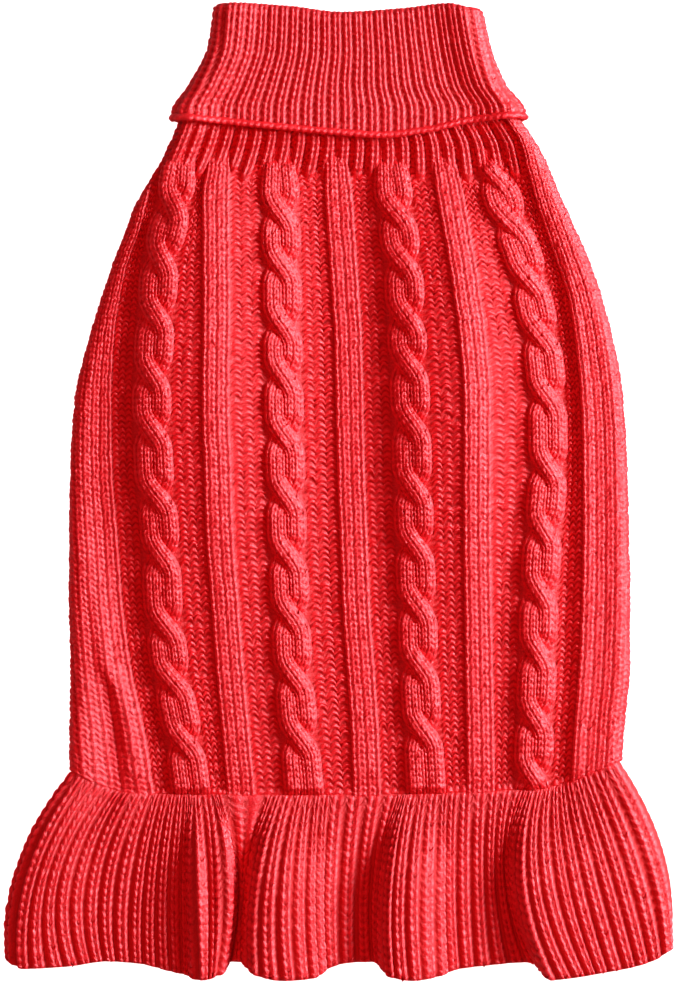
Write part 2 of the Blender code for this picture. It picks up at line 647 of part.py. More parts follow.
def ruffle_middle():
    """A function for the middle of the ruffle's cloth, and how far round it each fold lies."""
    values = np.array([row[1:] for row in RUFFLE_FOLDS])
    halfway = np.stack([values[:, 1], values[:, 4]], axis=1)
    edge = np.stack([values[:, 2], values[:, 5]], axis=1)
    step_half = np.linalg.norm(np.diff(halfway, axis=0, append=halfway[:1]), axis=1)
    step_edge = np.linalg.norm(np.diff(edge, axis=0, append=edge[:1]), axis=1)
    around = np.concatenate([[0.0], np.cumsum((step_half + step_edge) / 2)])
    total = around[-1]
    last = len(values)
    wrapped = np.concatenate([values[last - 2:], values, values[:3]])
    places = np.concatenate([around[last - 2:last] - total, around[:last], around[:3] + total])
    curves = [smooth_curve(places, wrapped[:, i]) for i in range(values.shape[1])]

    def seam_height(place, x):
        """The ruffle's top edge follows the body's wall."""
        if around[1] <= place <= around[FOLDS_ON_TOP - 2]:
            return top_point(x, HEM_LEVEL, CLOTH / 2, BODY)[2]
        radius = FOLD_RADIUS - CLOTH / 2
        beyond_left = BODY["left"](HEM_LEVEL) + FOLD_RADIUS - x
        beyond_right = x - BODY["right"](HEM_LEVEL) + FOLD_RADIUS
        out = min(max(beyond_left, beyond_right, 0.0) / radius, 1.0)
        way = 1.0 if place <= around[FOLDS_ON_TOP - 1] else -1.0
        return FOLD_RADIUS + way * radius * math.sqrt(1.0 - out * out)

    def at(place, down):
        place = place % total
        x_seam, x_half, x_edge, y_edge, z_half, z_edge = (curve(place) for curve in curves)
        x = (
            x_seam * (1.0 - down) * (1.0 - 2.0 * down)
            + 4.0 * x_half * down * (1.0 - down)
            + x_edge * down * (2.0 * down - 1.0)
        )
        y_seam = HEM_SEAM_Y(x_seam) - SEAM_GAP / 2
        y = y_seam + (y_edge - y_seam) * down
        z_seam = seam_height(place, x_seam)
        if down < 0.5:
            z = z_seam + (z_half - z_seam) * rise(0.0, 0.5, down)
        else:
            z = z_half + (z_edge - z_half) * rise(0.5, 1.0, down)
        return np.array((x, y, z))

    return at, around


def ruffle_piece(material, collection):
    wall = Wall()
    middle, around = ruffle_middle()
    total = around[-1]
    top_end = around[FOLDS_ON_TOP - 1]
    ribs = round(top_end / RUFFLE_RIB_WIDE)

    def line(place, rib, depth):
        points = []
        for i in range(RUFFLE_ROWS + 1):
            down = i / RUFFLE_ROWS
            centre = middle(place, down)
            across = middle(place + NUDGE, down) - middle(place - NUDGE, down)
            below = middle(place, min(down + NUDGE_DOWN, 1.0)) - middle(place, max(down - NUDGE_DOWN, 0.0))
            normal = np.cross(below, across)
            if i == 0:
                normal[1] = 0.0
            normal /= np.linalg.norm(normal)
            side = 1.0 if depth > 0 else -1.0
            raised = rib * RUFFLE_RIB_HIGH * rise(*RUFFLE_RIB_Y, down)
            points.append(tuple(centre + normal * side * (CLOTH / 2 + (raised if depth > 0 else 0.0))))
        return wall.line(points, [i / RUFFLE_ROWS for i in range(RUFFLE_ROWS + 1)])

    places = [top_end * i / (2 * ribs) for i in range(2 * ribs)]
    under_columns = round((total - top_end) / UNDER_COLUMN_WIDE)
    under = [top_end + (total - top_end) * i / under_columns for i in range(under_columns)]
    near_folds = [top_end + step for step in NEAR_FOLDS] + [total - step for step in NEAR_FOLDS]
    under = sorted(set(under + near_folds))
    outer = []
    inner = []
    for i, place in enumerate(places):
        outer.append((line(place, float(i % 2), 1.0), place))
        if i % 2 == 0:
            inner.append((line(place, 0.0, -1.0), place))
    for place in under:
        outer.append((line(place, 0.0, 1.0), place))
        inner.append((line(place, 0.0, -1.0), place))
    wall.strips([points for points, _ in outer], closed=True)
    wall.strips([points for points, _ in inner], closed=True)
    for end in (0, -1):
        loops = []
        for face in (outer, inner):
            ends = [points[0][end] for points, _ in face]
            loops.append((ends + ends[:1], [place for _, place in face] + [total]))
        wall.strip(*loops)
    return wall.finish("ruffle", material, collection)


def knit_material(name):
    material = bpy.data.materials.new(name)
    material.use_nodes = True
    shader = material.node_tree.nodes["Principled BSDF"]
    shader.inputs["Base Color"].default_value = (*YARN, 1.0)
    shader.inputs["Roughness"].default_value = YARN_ROUGHNESS
    shader.inputs["Metallic"].default_value = 0.0
    return material


def main():
    for old in list(bpy.data.objects):
        bpy.data.objects.remove(old, do_unlink=True)
    sweater = bpy.data.collections.new("dog_sweater")
    cutters = bpy.data.collections.new("cutters")
    bpy.context.scene.collection.children.link(sweater)
    bpy.context.scene.collection.children.link(cutters)
    back_panel_piece(knit_material("back_knit"), sweater)
    belly_panel_piece(knit_material("belly_knit"), sweater, cutters)
    collar_piece(knit_material("collar_knit"), sweater)
    ruffle_piece(knit_material("ruffle_knit"), sweater)


main()
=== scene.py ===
import math

import bpy
import numpy as np
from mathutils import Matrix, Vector


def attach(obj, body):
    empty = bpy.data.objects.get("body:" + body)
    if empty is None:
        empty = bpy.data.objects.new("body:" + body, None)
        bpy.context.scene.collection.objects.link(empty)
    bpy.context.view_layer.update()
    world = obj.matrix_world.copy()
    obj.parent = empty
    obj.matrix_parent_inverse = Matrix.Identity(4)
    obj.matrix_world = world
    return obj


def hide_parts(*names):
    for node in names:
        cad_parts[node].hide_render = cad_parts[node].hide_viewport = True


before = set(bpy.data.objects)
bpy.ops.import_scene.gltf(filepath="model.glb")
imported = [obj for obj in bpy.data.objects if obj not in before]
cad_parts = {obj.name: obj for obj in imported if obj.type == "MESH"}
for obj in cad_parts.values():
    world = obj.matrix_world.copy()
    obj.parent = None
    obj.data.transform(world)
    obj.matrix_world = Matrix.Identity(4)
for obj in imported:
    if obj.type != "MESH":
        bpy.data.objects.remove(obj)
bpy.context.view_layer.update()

# Lengths are in millimetres until a piece is finished. A place in the cloth is x, y and a depth, which is
# 0 on the inner face of the cloth and grows outwards.
MM = 0.001
CLOTH = 2.4
SEAM_GAP = 0.3
SEAM_OPEN = -0.4  # the hem seam is pulled shut
ROOM_INSIDE = 1
FOLD_RADIUS = 4.5
FLAP = 5
FOLD_SLOPE = 14
ARC = math.pi * FOLD_RADIUS

GROUND = 2.2  # crest of the purl stitches
BAND = 3.1
RIB = 3.7
BED = 1.9  # cloth under the strands of a cable
CABLE_HALF = 7.9
RIB_HALF = 5.7
RIB_SAG = 0.3  # how much lower a rib is at its sides
BAND_LIP = 0.35  # how much higher a band is beside its edge
STRAND_TOP = 5.2  # crest of a strand between two crossings
STRAND_OVER = 0.9  # how much higher it lies where it crosses over
STRAND_UNDER = 2.6  # how much lower where it passes under
STRAND_EDGE = 1.3
STRAND_WIDE = 4.35  # half width of a strand
STRAND_MEET = 3.72  # its half width on the side of the other strand, where they lie side by side
STRAND_APART = 3.75  # from the middle of the cable to the middle of a strand
CROSS_LONG = 8.4  # half the length over which the strands change sides
STRANDS_END_Y = 137  # under the neck ribs
PURL_SINKS_Y = (121, 130)  # where the pattern of the back sinks under them
STRAND_SINKS_Y = (128.5, 133.5)
KNIT_SINKS_Y = (130.5, 135)
SUNK_PURL, SUNK_KNIT, SUNK_STRAND = 1.5, 1.9, 2

COURSE = 2.38  # height of a row of stitches
NECK_SEAM_Y = 150
HEM_LEVEL = -115.0
LIFT = CLOTH + SEAM_GAP
LIFT_Y = (124, 145)
NECK_PINCH = 0.6
PINCH_Y = (116, 146)

KNIT_DEEP = 1.1  # from the crest of a knit stitch to its groove
PURL_DEEP = 1.5
KNIT_UNEVEN = 0.12
PURL_UNEVEN = 0.17
LEAN = 0.72  # how far the two legs of a knit stitch slope, in rows
WAVE = 0.62  # how far a purl row waves, in rows
KNIT_SLIP = 0.09  # how far a stitch slips along its wale, in rows
PURL_SLIP = 0.13
SIDE_SLIP = 0.12
# Painted shade: the purl ground a little darker, the bed under the cable strands darker (its value also sets
# the bed's depth), and the hidden inner faces darkest.
PURL_SHADE = 0.97
BED_TONE = 0.35
HIDDEN_SHADE = 0.2

FULL_PATCH = (0.02, 0.02, 0.95, 0.95)  # corner and size on the map of the stitches
PANEL_PATCH = (0.02, 0.02, 0.84, 0.95)
INNER_PATCH = (0.89, 0.02, 0.09, 0.95)
STRIP = 0.004  # width of a strip for an edge
STRIP_AWAY = 0.012

WHITE = (1, 1, 1, 1)
BLACK = (0, 0, 0, 1)

# A row for each height on the back: its edges, its two bands, the middles of its cables and ribs.
SECTION_COLUMNS = (
    "left", "band_l", "cable_1", "rib_1", "cable_2", "rib_2", "cable_3", "rib_3", "cable_4", "band_r", "right",
)
MIDDLES = SECTION_COLUMNS[2:9]
SECTIONS = (
    (150.2, -62.8, -66, -57.5, -43.5, -23, -1.5, 19, 38.5, 54, 65, 70.5),
    (143.4, -65, -68.6, -59.8, -45.4, -24, -1.5, 19.5, 40.1, 56.6, 70, 75.4),
    (138.2, -67.2, -70.6, -61.6, -46.8, -23.9, -1.2, 20, 41, 58.3, 72.9, 78.8),
    (130.2, -70.9, -73.4, -63.6, -47.8, -23.6, -0.7, 20.8, 42.5, 61, 75, 83),
    (116.2, -79.6, -76.2, -65.4, -48.9, -23.3, 0.3, 22.2, 45, 65.8, 78.6, 88.8),
    (103, -85, -79.7, -68.6, -48.8, -22.9, 1.1, 24, 47.4, 70.3, 83.1, 94.8),
    (89.4, -90.1, -84.6, -71.4, -48.7, -22.6, 2.1, 25.8, 49.8, 75, 87.6, 100.7),
    (76.2, -94.5, -87.4, -72.4, -48.6, -22.4, 2.9, 26.5, 51.6, 77.8, 91.8, 105),
    (63, -98.6, -89.4, -73.4, -48.7, -22.2, 3.8, 27.2, 53.5, 80.6, 93.9, 108.7),
    (36.2, -104.9, -90.6, -74.6, -49, -21.8, 4.4, 28.6, 55.4, 83.4, 96.6, 113.4),
    (9.4, -106.7, -90.2, -73.8, -48.2, -21.2, 5, 29.4, 55.4, 83.8, 97.4, 114.9),
    (-17, -107.2, -88.2, -71.4, -47.4, -20.6, 6, 30.2, 55.4, 81.8, 97.4, 115.6),
    (-43.8, -107.2, -86.2, -70.2, -45.4, -19.4, 7, 31.2, 55.8, 80.2, 97, 116.1),
    (-70.6, -106.6, -82.6, -67.4, -43.4, -18.2, 8.8, 32.2, 56.2, 79.4, 95.8, 116),
    (-97, -107.2, -77, -62.2, -41, -15.8, 10.6, 33.7, 56.7, 78.3, 93.8, 113.6),
    (-119.8, -106.6, -73.4, -59, -39, -13.8, 11.4, 35, 57, 77.4, 92.6, 112.2),
)

# Where the strand from the upper left crosses over the other, as y.
CROSSINGS = {
    "cable_1": (114.2, 93, 70.2, 46.2, 24.2, -1.8, -25.8, -53.8, -75.8, -100.6),
    "cable_2": (111.4, 90.2, 66.2, 45.8, 22.2, -1.8, -25.8, -49.8, -73.8, -99),
    "cable_3": (111.4, 91.4, 69.4, 50.2, 27, 1.4, -21.8, -45.8, -69.8, -95.8),
    "cable_4": (126.2, 107.4, 84.2, 62.2, 37.4, 9, -15.8, -40.6, -64.6, -90.6, -113.8),
}

# The large soft folds of the back: y, x of the crest, how far it spreads to the left and to the right, and
# its height.
BACK_FOLDS = {
    "left_swell": (
        (136, -46, 22, 22, 0), (120, -50, 26, 25, 5.6), (100, -54, 30, 28, 8.8), (40, -55, 34, 30, 10),
        (4, -54, 34, 29, 8.6), (-30, -51, 30, 26, 4.6), (-70, -47, 24, 22, 2.4), (-122, -42, 20, 20, 0.4),
    ),
    "right_swell": (
        (134, 41, 18, 16, 0), (112, 43, 20, 18, 3.6), (85, 46.5, 22, 20, 7.2), (30, 48.5, 24, 23, 8.8),
        (-5, 49, 24, 22, 6.2), (-40, 51, 18, 16, 3.2), (-122, 53, 14, 14, 0.6),
    ),
    "far_right_swell": (
        (60, 80, 9, 9, 0), (0, 82, 9, 8, 1.4), (-60, 79, 9, 9, 2), (-122, 77, 9, 10, 0.3),
    ),
    "right_ridge": (
        (136, 78, 3.4, 10, 0.4), (120, 86.6, 3.4, 12, 2), (70, 95.4, 3.4, 13, 3), (36, 98.2, 3.6, 13, 3.2),
        (-28, 97, 3.6, 14, 3), (-108, 95, 3.6, 14, 2.4), (-122, 94.6, 3.6, 14, 0.2),
    ),
    "left_ridge": (
        (-28, -99, 3.6, 6, 0), (-50, -97, 3.6, 6, 2.4), (-68, -94, 3.4, 5.6, 3.4), (-80, -88.8, 3.4, 5.4, 3),
        (-92, -85.4, 3.4, 5.4, 2.6), (-116, -82.2, 3.4, 5.4, 1.4), (-122, -81.8, 3.4, 5.4, 0.2),
    ),
}
CABLE_SWELL = 0.9  # how far the cloth is pulled up under a cable
SWELL_SPREAD = 9
SWELL_STARTS = 25  # how far above the hem it is whole
SWELL_ENDS_Y = (105, 130)

HEM_SEAM = ((-107, -111.5), (-98, -116.5), (-80, -121.5), (0, -122), (80, -119.5), (113, -107.5))

LEG_HOLE_Y = 52
LEG_HOLES = {"left": -47.5, "right": 56.5}  # x of their middles
LEG_HOLE_HALF = (23, 29)

COLLAR_SIDES = (
    (140, -63.5, 71.5), (151.5, -63.5, 71.5), (162, -56.9, 64), (177, -49.3, 57.9), (195, -46.6, 54),
)
COLLAR_TOP = (
    (-52, 191.3), (-42, 194.8), (-20, 193.6), (1, 191.2), (25, 192.6), (44, 194.6), (57, 190.8),
)
CUFF_RIM = (
    (-66.2, 148.4), (-37.4, 145.4), (4.6, 141.4), (16.6, 140.6), (36.6, 143), (52.2, 146.6), (74.2, 149.2),
)
FOLD_LEVEL = 193
RIM_LEVEL = 145
CUFF_RIM_BELOW = 147.2
CUFF_FLARE = 1.6
CUFF_FLARE_Y = (141, 156)
COLLAR_RIBS = 29
CHAIN_HIGH = 2.6  # the bound-off edge of the cuff
CUFF_CHAIN = (  # how far up from the rim, how far out, and how far round: a row each
    (CHAIN_HIGH, 0.2, 0), (2, 0.95, 0.1), (1.3, 1.3, 0.25), (0.6, 0.95, 0.4), (0, 0.1, 0.5),
)
RIM_INSIDE = 0.8

# The ruffle's folds on top, left to right: x at the seam, halfway and at the edge, y of the edge, z halfway
# and at the edge.
RUFFLE_TOP = (
    (-105.4, -126.8, -130.9, -187.6, 4.8, 4.8), (-102.1, -121.8, -125.6, -191, 10.4, 10.2),
    (-92.2, -110.6, -108.6, -190.2, 8.4, 8), (-81.4, -93.4, -92.6, -188.2, 4.8, 4.6),
    (-72.2, -79.4, -80.2, -189, 4.8, 4.6), (-64.2, -67.4, -66.6, -192.2, 6.6, 6.6),
    (-60.2, -60.2, -59.4, -193.8, 8.6, 8.4), (-57.4, -56.2, -54.8, -195.4, 15.4, 14.4),
    (-54, -50.4, -51.6, -195, 12.4, 13), (-50.4, -45.4, -48.6, -193.6, 14.6, 12.6),
    (-47.4, -41.8, -45.4, -189.4, 5.6, 5.2), (-39, -38.6, -41.2, -188, 4.2, 3.8),
    (-29.4, -36.2, -37.8, -188.6, 5.4, 5.2), (-26.2, -33.8, -35, -191, 10.2, 10.2),
    (-22.6, -30.8, -31.6, -193.8, 15.2, 15.6), (-17, -23.4, -22.2, -195.6, 15.8, 15.8),
    (-9, -12.2, -10.6, -194.8, 11.6, 11.6), (-1, -4.2, -3.4, -190.6, 6, 5.6),
    (8.6, 5.4, 5.4, -188.6, 4, 3.8), (18, 13, 13.4, -188.4, 4, 4),
    (23, 16.6, 17, -189.6, 5.4, 5.4), (25.2, 18.8, 19.4, -192, 10.2, 10.2),
    (27.4, 21.4, 22.2, -194.4, 15.2, 15.6), (32.6, 28, 29.4, -195.6, 15.2, 15.2),
    (40.6, 38.2, 39, -194.2, 10.8, 10.8), (47, 45.4, 47, -191.4, 6, 5.8),
    (58.2, 57.4, 59.8, -189.8, 4.2, 4), (69.4, 66.4, 74.2, -188.6, 4.2, 4.2),
    (74, 69.2, 80, -189, 5.4, 5.4), (76, 71.8, 82.8, -192, 10.2, 10.2),
    (78.4, 75, 86.6, -195.2, 15, 15), (82.6, 81.4, 94.2, -194.4, 14.4, 14),
    (89.4, 94.6, 105.4, -192.6, 12, 11.4), (96.6, 107.8, 118.2, -190.2, 9.8, 9.4),
    (103.8, 118.6, 127.4, -187, 8, 7.6), (107.6, 124.6, 131, -184.4, 7, 7),
    (111, 129.8, 132.6, -182.6, 4.8, 4.8),
)
# Its folds underneath, right to left, where it lies flat.
RUFFLE_UNDER = (
    (107.6, 124.2, 130, -181.4), (80.6, 94.6, 100.6, -185),
    (40.6, 46.6, 48.6, -184.6), (0.6, 0.6, 0.6, -184),
    (-39.4, -47.4, -50.6, -184.6), (-75.4, -97.4, -103.4, -185.6),
    (-102.1, -123.4, -126, -186.4),
)
FOLDS_ON_TOP = len(RUFFLE_TOP)
RUFFLE_RIB_WIDE = 5.5
RUFFLE_RIB_HIGH = 0.9


def rise(low, high, value):
    share = np.clip((np.asarray(value, float) - low) / (high - low), 0, 1)
    return share * share * (3 - 2 * share)


def smooth_curve(places, heights):
    """A function through the points that never swings past them."""
    places, heights = np.asarray(places, float), np.asarray(heights, float)
    steps = np.diff(places)
    slopes = np.diff(heights) / steps
    tangents = np.zeros(len(places))
    tangents[0], tangents[-1] = slopes[0], slopes[-1]
    for i in range(1, len(places) - 1):
        if slopes[i - 1] * slopes[i] > 0:
            tangents[i] = 2 * slopes[i - 1] * slopes[i] / (slopes[i - 1] + slopes[i])

    def at(place):
        place = np.asarray(place, float)
        i = np.clip(np.searchsorted(places, place) - 1, 0, len(steps) - 1)
        t = np.clip((place - places[i]) / steps[i], 0, 1)
        rest = 1 - t
        return (
            heights[i] * (1 + 2 * t) * rest * rest
            + tangents[i] * steps[i] * t * rest * rest
            + heights[i + 1] * t * t * (3 - 2 * t)
            - tangents[i + 1] * steps[i] * t * t * rest
        )

    return at


def curves_of(rows, names):
    table = np.array(sorted(rows))
    return {name: smooth_curve(table[:, 0], table[:, i + 1]) for i, name in enumerate(names)}


SWELLS = [curves_of(rows, ("crest", "left", "right", "high")) for rows in BACK_FOLDS.values()]
BODY = curves_of(SECTIONS, SECTION_COLUMNS)
NECK = curves_of(COLLAR_SIDES, ("left", "right"))
HEM_SEAM_Y = smooth_curve(*zip(*HEM_SEAM))
COLLAR_TOP_Y = smooth_curve(*zip(*COLLAR_TOP))
CUFF_RIM_Y = smooth_curve(*zip(*CUFF_RIM))


def top_width(y, sides):
    """Between the two side folds of the flattened tube."""
    return sides["right"](y) - sides["left"](y) - 2 * FOLD_RADIUS


def girth(y, sides):
    """All round the outer face, flaps included."""
    return 2 * (FLAP + ARC) + top_width(y, sides)


def lift_at(y):
    return LIFT * rise(*LIFT_Y, y)


def pinch_at(y):
    return 1 + (NECK_PINCH - 1) * rise(*PINCH_Y, y)


def room_at(x, y, sides):
    """Height of the inner face of the back over the belly cloth."""
    fold_room = 2 * (FOLD_RADIUS - CLOTH)
    inboard = np.minimum(x - sides["left"](y), sides["right"](y) - x) - FOLD_RADIUS
    away = rise(0, FOLD_SLOPE, inboard)
    room = ROOM_INSIDE + (fold_room - ROOM_INSIDE) * (1 - away)
    if sides is BODY:
        for swell in SWELLS:
            off = x - swell["crest"](y)
            spread = np.where(off < 0, swell["left"](y), swell["right"](y))
            room = room + swell["high"](y) * away * np.exp(-((off / spread) ** 2))
        ends = rise(HEM_LEVEL, HEM_LEVEL + SWELL_STARTS, y) * (1 - rise(*SWELL_ENDS_Y, y))
        for name in CROSSINGS:
            room = room + CABLE_SWELL * ends * np.exp(-(((x - BODY[name](y)) / SWELL_SPREAD) ** 2))
    return room


def tube_point(way, y, depth, sides):
    """A place on the flattened tube. way is the distance along its outer face from the end of the left
    flap: up round the left fold, over the top, and down round the right fold to the end of its flap."""
    way, y, depth = np.broadcast_arrays(np.asarray(way, float), y, depth)
    left, right = sides["left"](y), sides["right"](y)
    whole = girth(y, sides)
    from_right = way > whole / 2
    near = np.where(from_right, whole - way, way)
    out = np.where(from_right, 1, -1)
    edge = np.where(from_right, right, left)
    angle = -math.pi / 2 + np.clip((near - FLAP) / FOLD_RADIUS, 0, math.pi)
    radius = FOLD_RADIUS - CLOTH + depth
    past = np.maximum(near - FLAP - ARC, 0)
    before = np.maximum(FLAP - near, 0)
    straight = (past > 0) | (before > 0)
    x = edge - out * (FOLD_RADIUS + past + before) + np.where(straight, 0, out * radius * np.cos(angle))
    fold_z = lift_at(y) + FOLD_RADIUS + radius * np.sin(angle)
    top_z = lift_at(y) + CLOTH + room_at(x, y, sides) + depth
    z = np.maximum(np.where(past > 0, top_z, fold_z), 0)
    return np.stack([x, y, z], axis=-1)


def way_of(x, y):
    """How far round the tube a place on the top of the body lies."""
    return FLAP + ARC + x - (BODY["left"](y) + FOLD_RADIUS)


def on_back(x, y, depth):
    return tube_point(way_of(x, y), y, depth, BODY)


def half_width(name, y):
    """Half the width of a cable or rib, which are drawn together at the neck."""
    return (CABLE_HALF if name in CROSSINGS else RIB_HALF) * pinch_at(y)


def closed_up(ids, axis):
    """A grid of points with its first line again after its last."""
    return np.concatenate([ids, ids.take([0], axis=axis)], axis=axis)


def put_in_scene(name, data):
    made = bpy.data.objects.new(name, data)
    bpy.context.scene.collection.objects.link(made)
    return made


class Cloth:
    """Gathers grids of points into one mesh, with a map of the stitches for each."""

    def __init__(self):
        self.points, self.crest, self.corners, self.sizes, self.uv, self.rims = ([] for _ in range(6))
        self.count = 0

    def add_points(self, points, crest):
        points = np.asarray(points, float)
        shape = points.shape[:-1]
        ids = np.arange(self.count, self.count + int(np.prod(shape))).reshape(shape)
        self.points.append(points.reshape(-1, 3))
        self.crest.append(np.broadcast_to(crest, shape).reshape(-1))
        self.count += ids.size
        return ids

    def add_faces(self, corners, uv):
        corners = np.asarray(corners)
        self.corners.append(corners.reshape(-1))
        self.sizes.append(np.full(len(corners), corners.shape[1]))
        self.uv.append(np.asarray(uv, float).reshape(-1, 2))

    def skin(self, ids, patch, turned=False):
        """Faces over a grid of points. patch is its corner and size on the map."""
        rows, columns = ids.shape
        r, c = np.meshgrid(np.arange(rows - 1), np.arange(columns - 1), indexing="ij")
        r, c = r.reshape(-1), c.reshape(-1)
        loops = [(r, c), (r, c + 1), (r + 1, c + 1), (r + 1, c)]
        if turned:
            loops.reverse()
        corners = np.stack([ids[a, b] for a, b in loops], axis=1)
        u0, v0, wide, high = patch
        uv = [np.stack([u0 + wide * b / (columns - 1), v0 + high * a / (rows - 1)], axis=1) for a, b in loops]
        self.add_faces(corners, np.stack(uv, axis=1))

    def close_edge(self, fine, coarse, picks, place, turned=False):
        """Closes the edge between a fine line of points and a coarse one. picks says which fine point
        each coarse one stands for, and place is where the strip starts and ends on the map."""
        (u0, v0), (u1, v1) = place
        out_u, out_v = (STRIP, 0) if u0 == u1 else (0, STRIP)
        self.rims += [np.asarray(fine), np.asarray(coarse)]
        triangles, uvs = [], []

        def spot(i, side):
            t = i / (len(fine) - 1)
            return (u0 + (u1 - u0) * t + out_u * side, v0 + (v1 - v0) * t + out_v * side)

        for k, (start, end) in enumerate(zip(picks, picks[1:])):
            for i in range(start, end):
                triangles.append((fine[i], fine[i + 1], coarse[k]))
                uvs.append((spot(i, 1), spot(i + 1, 1), spot(start, 2)))
            triangles.append((fine[end], coarse[k + 1], coarse[k]))
            uvs.append((spot(end, 1), spot(end, 2), spot(start, 2)))
        order = -1 if turned else 1
        self.add_faces(np.array(triangles)[:, ::order], np.array(uvs)[:, ::order])

    def finish(self, name, material, node, slot):
        mesh = bpy.data.meshes.new(name)
        grids = (self.points, self.corners, self.sizes, self.uv)
        points, corners, sizes, uv = (np.concatenate(grid) for grid in grids)
        mesh.vertices.add(len(points))
        mesh.vertices.foreach_set("co", points.reshape(-1) * MM)
        mesh.loops.add(len(corners))
        mesh.loops.foreach_set("vertex_index", corners.astype(np.int32))
        mesh.polygons.add(len(sizes))
        starts = np.concatenate([[0], np.cumsum(sizes)[:-1]]).astype(np.int32)
        mesh.polygons.foreach_set("loop_start", starts)
        mesh.polygons.foreach_set("use_smooth", np.ones(len(sizes), dtype=bool))
        layer = mesh.uv_layers.new(name="OFBake")
        layer.data.foreach_set("uv", uv.reshape(-1).astype(np.float32))
        # The crest attribute is the yarn's painted shade and painted highlight, with some random tone.
        height = mesh.attributes.new("crest", "FLOAT", "POINT")
        height.data.foreach_set("value", np.concatenate(self.crest).astype(np.float32))
        mesh.update(calc_edges=True)
        mesh.validate()
        if self.rims:
            pairs = [np.sort(np.stack([line[:-1], line[1:]], axis=1), axis=1) for line in self.rims]
            ends = np.empty(2 * len(mesh.edges), dtype=np.int32)
            mesh.edges.foreach_get("vertices", ends)
            ends = np.sort(ends.reshape(-1, 2).astype(np.int64), axis=1)
            on_rim = np.isin(ends @ (self.count, 1), np.concatenate(pairs) @ (self.count, 1))
            sharp = mesh.attributes.new("sharp_edge", "BOOLEAN", "EDGE")
            sharp.data.foreach_set("value", on_rim)
        mesh.materials.append(material)
        piece = put_in_scene(name, mesh)
        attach(piece, "root")
        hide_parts(node)
        return piece


class Stitches:
    """A pattern of knit (k) and purl (p) wales, and cable bed (c), with its columns and rows of points."""

    def __init__(
        self, kinds, rows_up, seed, columns=None, per_row=4, knit_wide=1, coarse_from=10000, lean=LEAN,
        notch=1.3,
    ):
        columns = columns or {"k": 6, "p": 4, "c": 1}
        spots, begins = [], 0
        for i, kind in enumerate(kinds):
            count = columns[kind] if i < coarse_from else 2
            wide = {"k": knit_wide, "p": 2 - knit_wide, "c": 1}[kind]
            spots += [(i, j / count, begins + wide * j / count) for j in range(count)]
            begins += wide
        self.lean = lean
        self.notch = notch  # how deep the notch is from each stitch to the next
        wale, self.part, self.across = np.array(spots + [(len(kinds), 0, begins)]).T
        self.wale = wale.astype(int)
        self.first_columns = [i for i, one in enumerate(self.part) if one == 0]
        self.coarse = self.wale >= coarse_from
        self.rows = np.arange(rows_up * per_row + 1) / per_row
        self.high = rows_up
        self.phase = self.rows % 1
        before = np.array(list(kinds[0] + kinds))[self.wale]
        here = np.array(list(kinds + kinds[-1]))[self.wale]
        edge = self.part == 0
        self.is_purl, self.is_knit, self.is_bed = (
            ((here == kind) & (~edge | (before == kind)))[None, :] for kind in "pkc"
        )
        self.at_step = (edge & (before != here))[None, :]
        chance = np.random.default_rng(seed)
        shape = (rows_up + 1, len(kinds) + 1)
        self.lift, self.shift, self.slip = (chance.normal(0, 1, shape) for _ in range(3))
        self.inside = (self.part > 0)[None, :]

    def per_stitch(self, values):
        """One value for each stitch, at every point, and 0 between two wales."""
        row = np.clip(np.floor(self.rows + 0.001).astype(int), 0, self.high)
        return self.inside * values[row[:, None], np.clip(self.wale, 0, values.shape[1] - 1)[None, :]]

    def tone(self, crest):
        """How pale the colour is at every point: palest on the knit legs as a painted highlight, darkest in the
        holes as painted shade, with a little random tone for each stitch.
        """
        pale = np.where(self.is_purl, PURL_SHADE, 1)
        return crest * pale + 0.04 * self.per_stitch(self.lift)

    def warped_rows(self):
        """The row of each point, with the slope of the knit legs and the wave of the purl rows."""
        part = self.part[None, :]
        lean = np.where(self.is_knit, -self.lean * (1 - np.abs(2 * part - 1)), 0)
        lean = np.where(self.is_purl, WAVE * np.sin(math.pi * part), lean)
        uneven = np.where(self.is_purl, PURL_SLIP, KNIT_SLIP)
        ends = np.clip(np.minimum(self.rows, self.high - self.rows), 0, 1)[:, None]
        return self.rows[:, None] + ends * (lean + uneven * self.per_stitch(self.slip))

    def over_row(self, *values):
        """What is given at the start, the quarters and the end of a row, at each row of points."""
        return np.interp(self.phase, (0, 0.25, 0.5, 0.75, 1), values)[:, None]

    def crest(self):
        """1 on the crest of the yarn, 0 in the deepest hole beside it."""
        phase = self.phase[:, None]
        part = self.part[None, :]
        leg = (2 * part) % 1
        along = self.over_row(0.55, 0.93, 1, 0.94, 0.55)
        middle = self.over_row(0.42, -0.1, -0.15, 0.45, 0.42)
        beside = self.over_row(0.36, 0.5, 0.56, 0.5, 0.36)
        floor = np.where(np.abs(part - 0.5) < 0.26, middle, beside)
        along = 1 - (1 - along) * self.notch
        round_leg = np.sin(math.pi * leg) ** 0.6
        knit = floor + (along - floor) * round_leg
        purl_along = self.over_row(-0.15, 0.66, 1, 0.7, -0.15)
        hole = 0.1 * (1 - np.abs(np.cos(2 * math.pi * part)))
        dome = 1 - 0.42 * np.cos(math.pi * part) ** 2
        purl = purl_along * dome + np.where(phase == 0, hole, 0)
        value = np.where(self.is_purl, purl, knit)
        # Where they colour the yarn, these values paint shade on the bed under the strands, in the step between
        # two kinds of wale, and between the coarse wales.
        value = np.where(self.is_bed, BED_TONE, value)
        value = np.where(self.at_step, 0.12 + 0.1 * (phase == 0.5), value)
        value = np.where(self.coarse[None, :], np.where(part > 0, 0.85, 0.3), value)
        return value


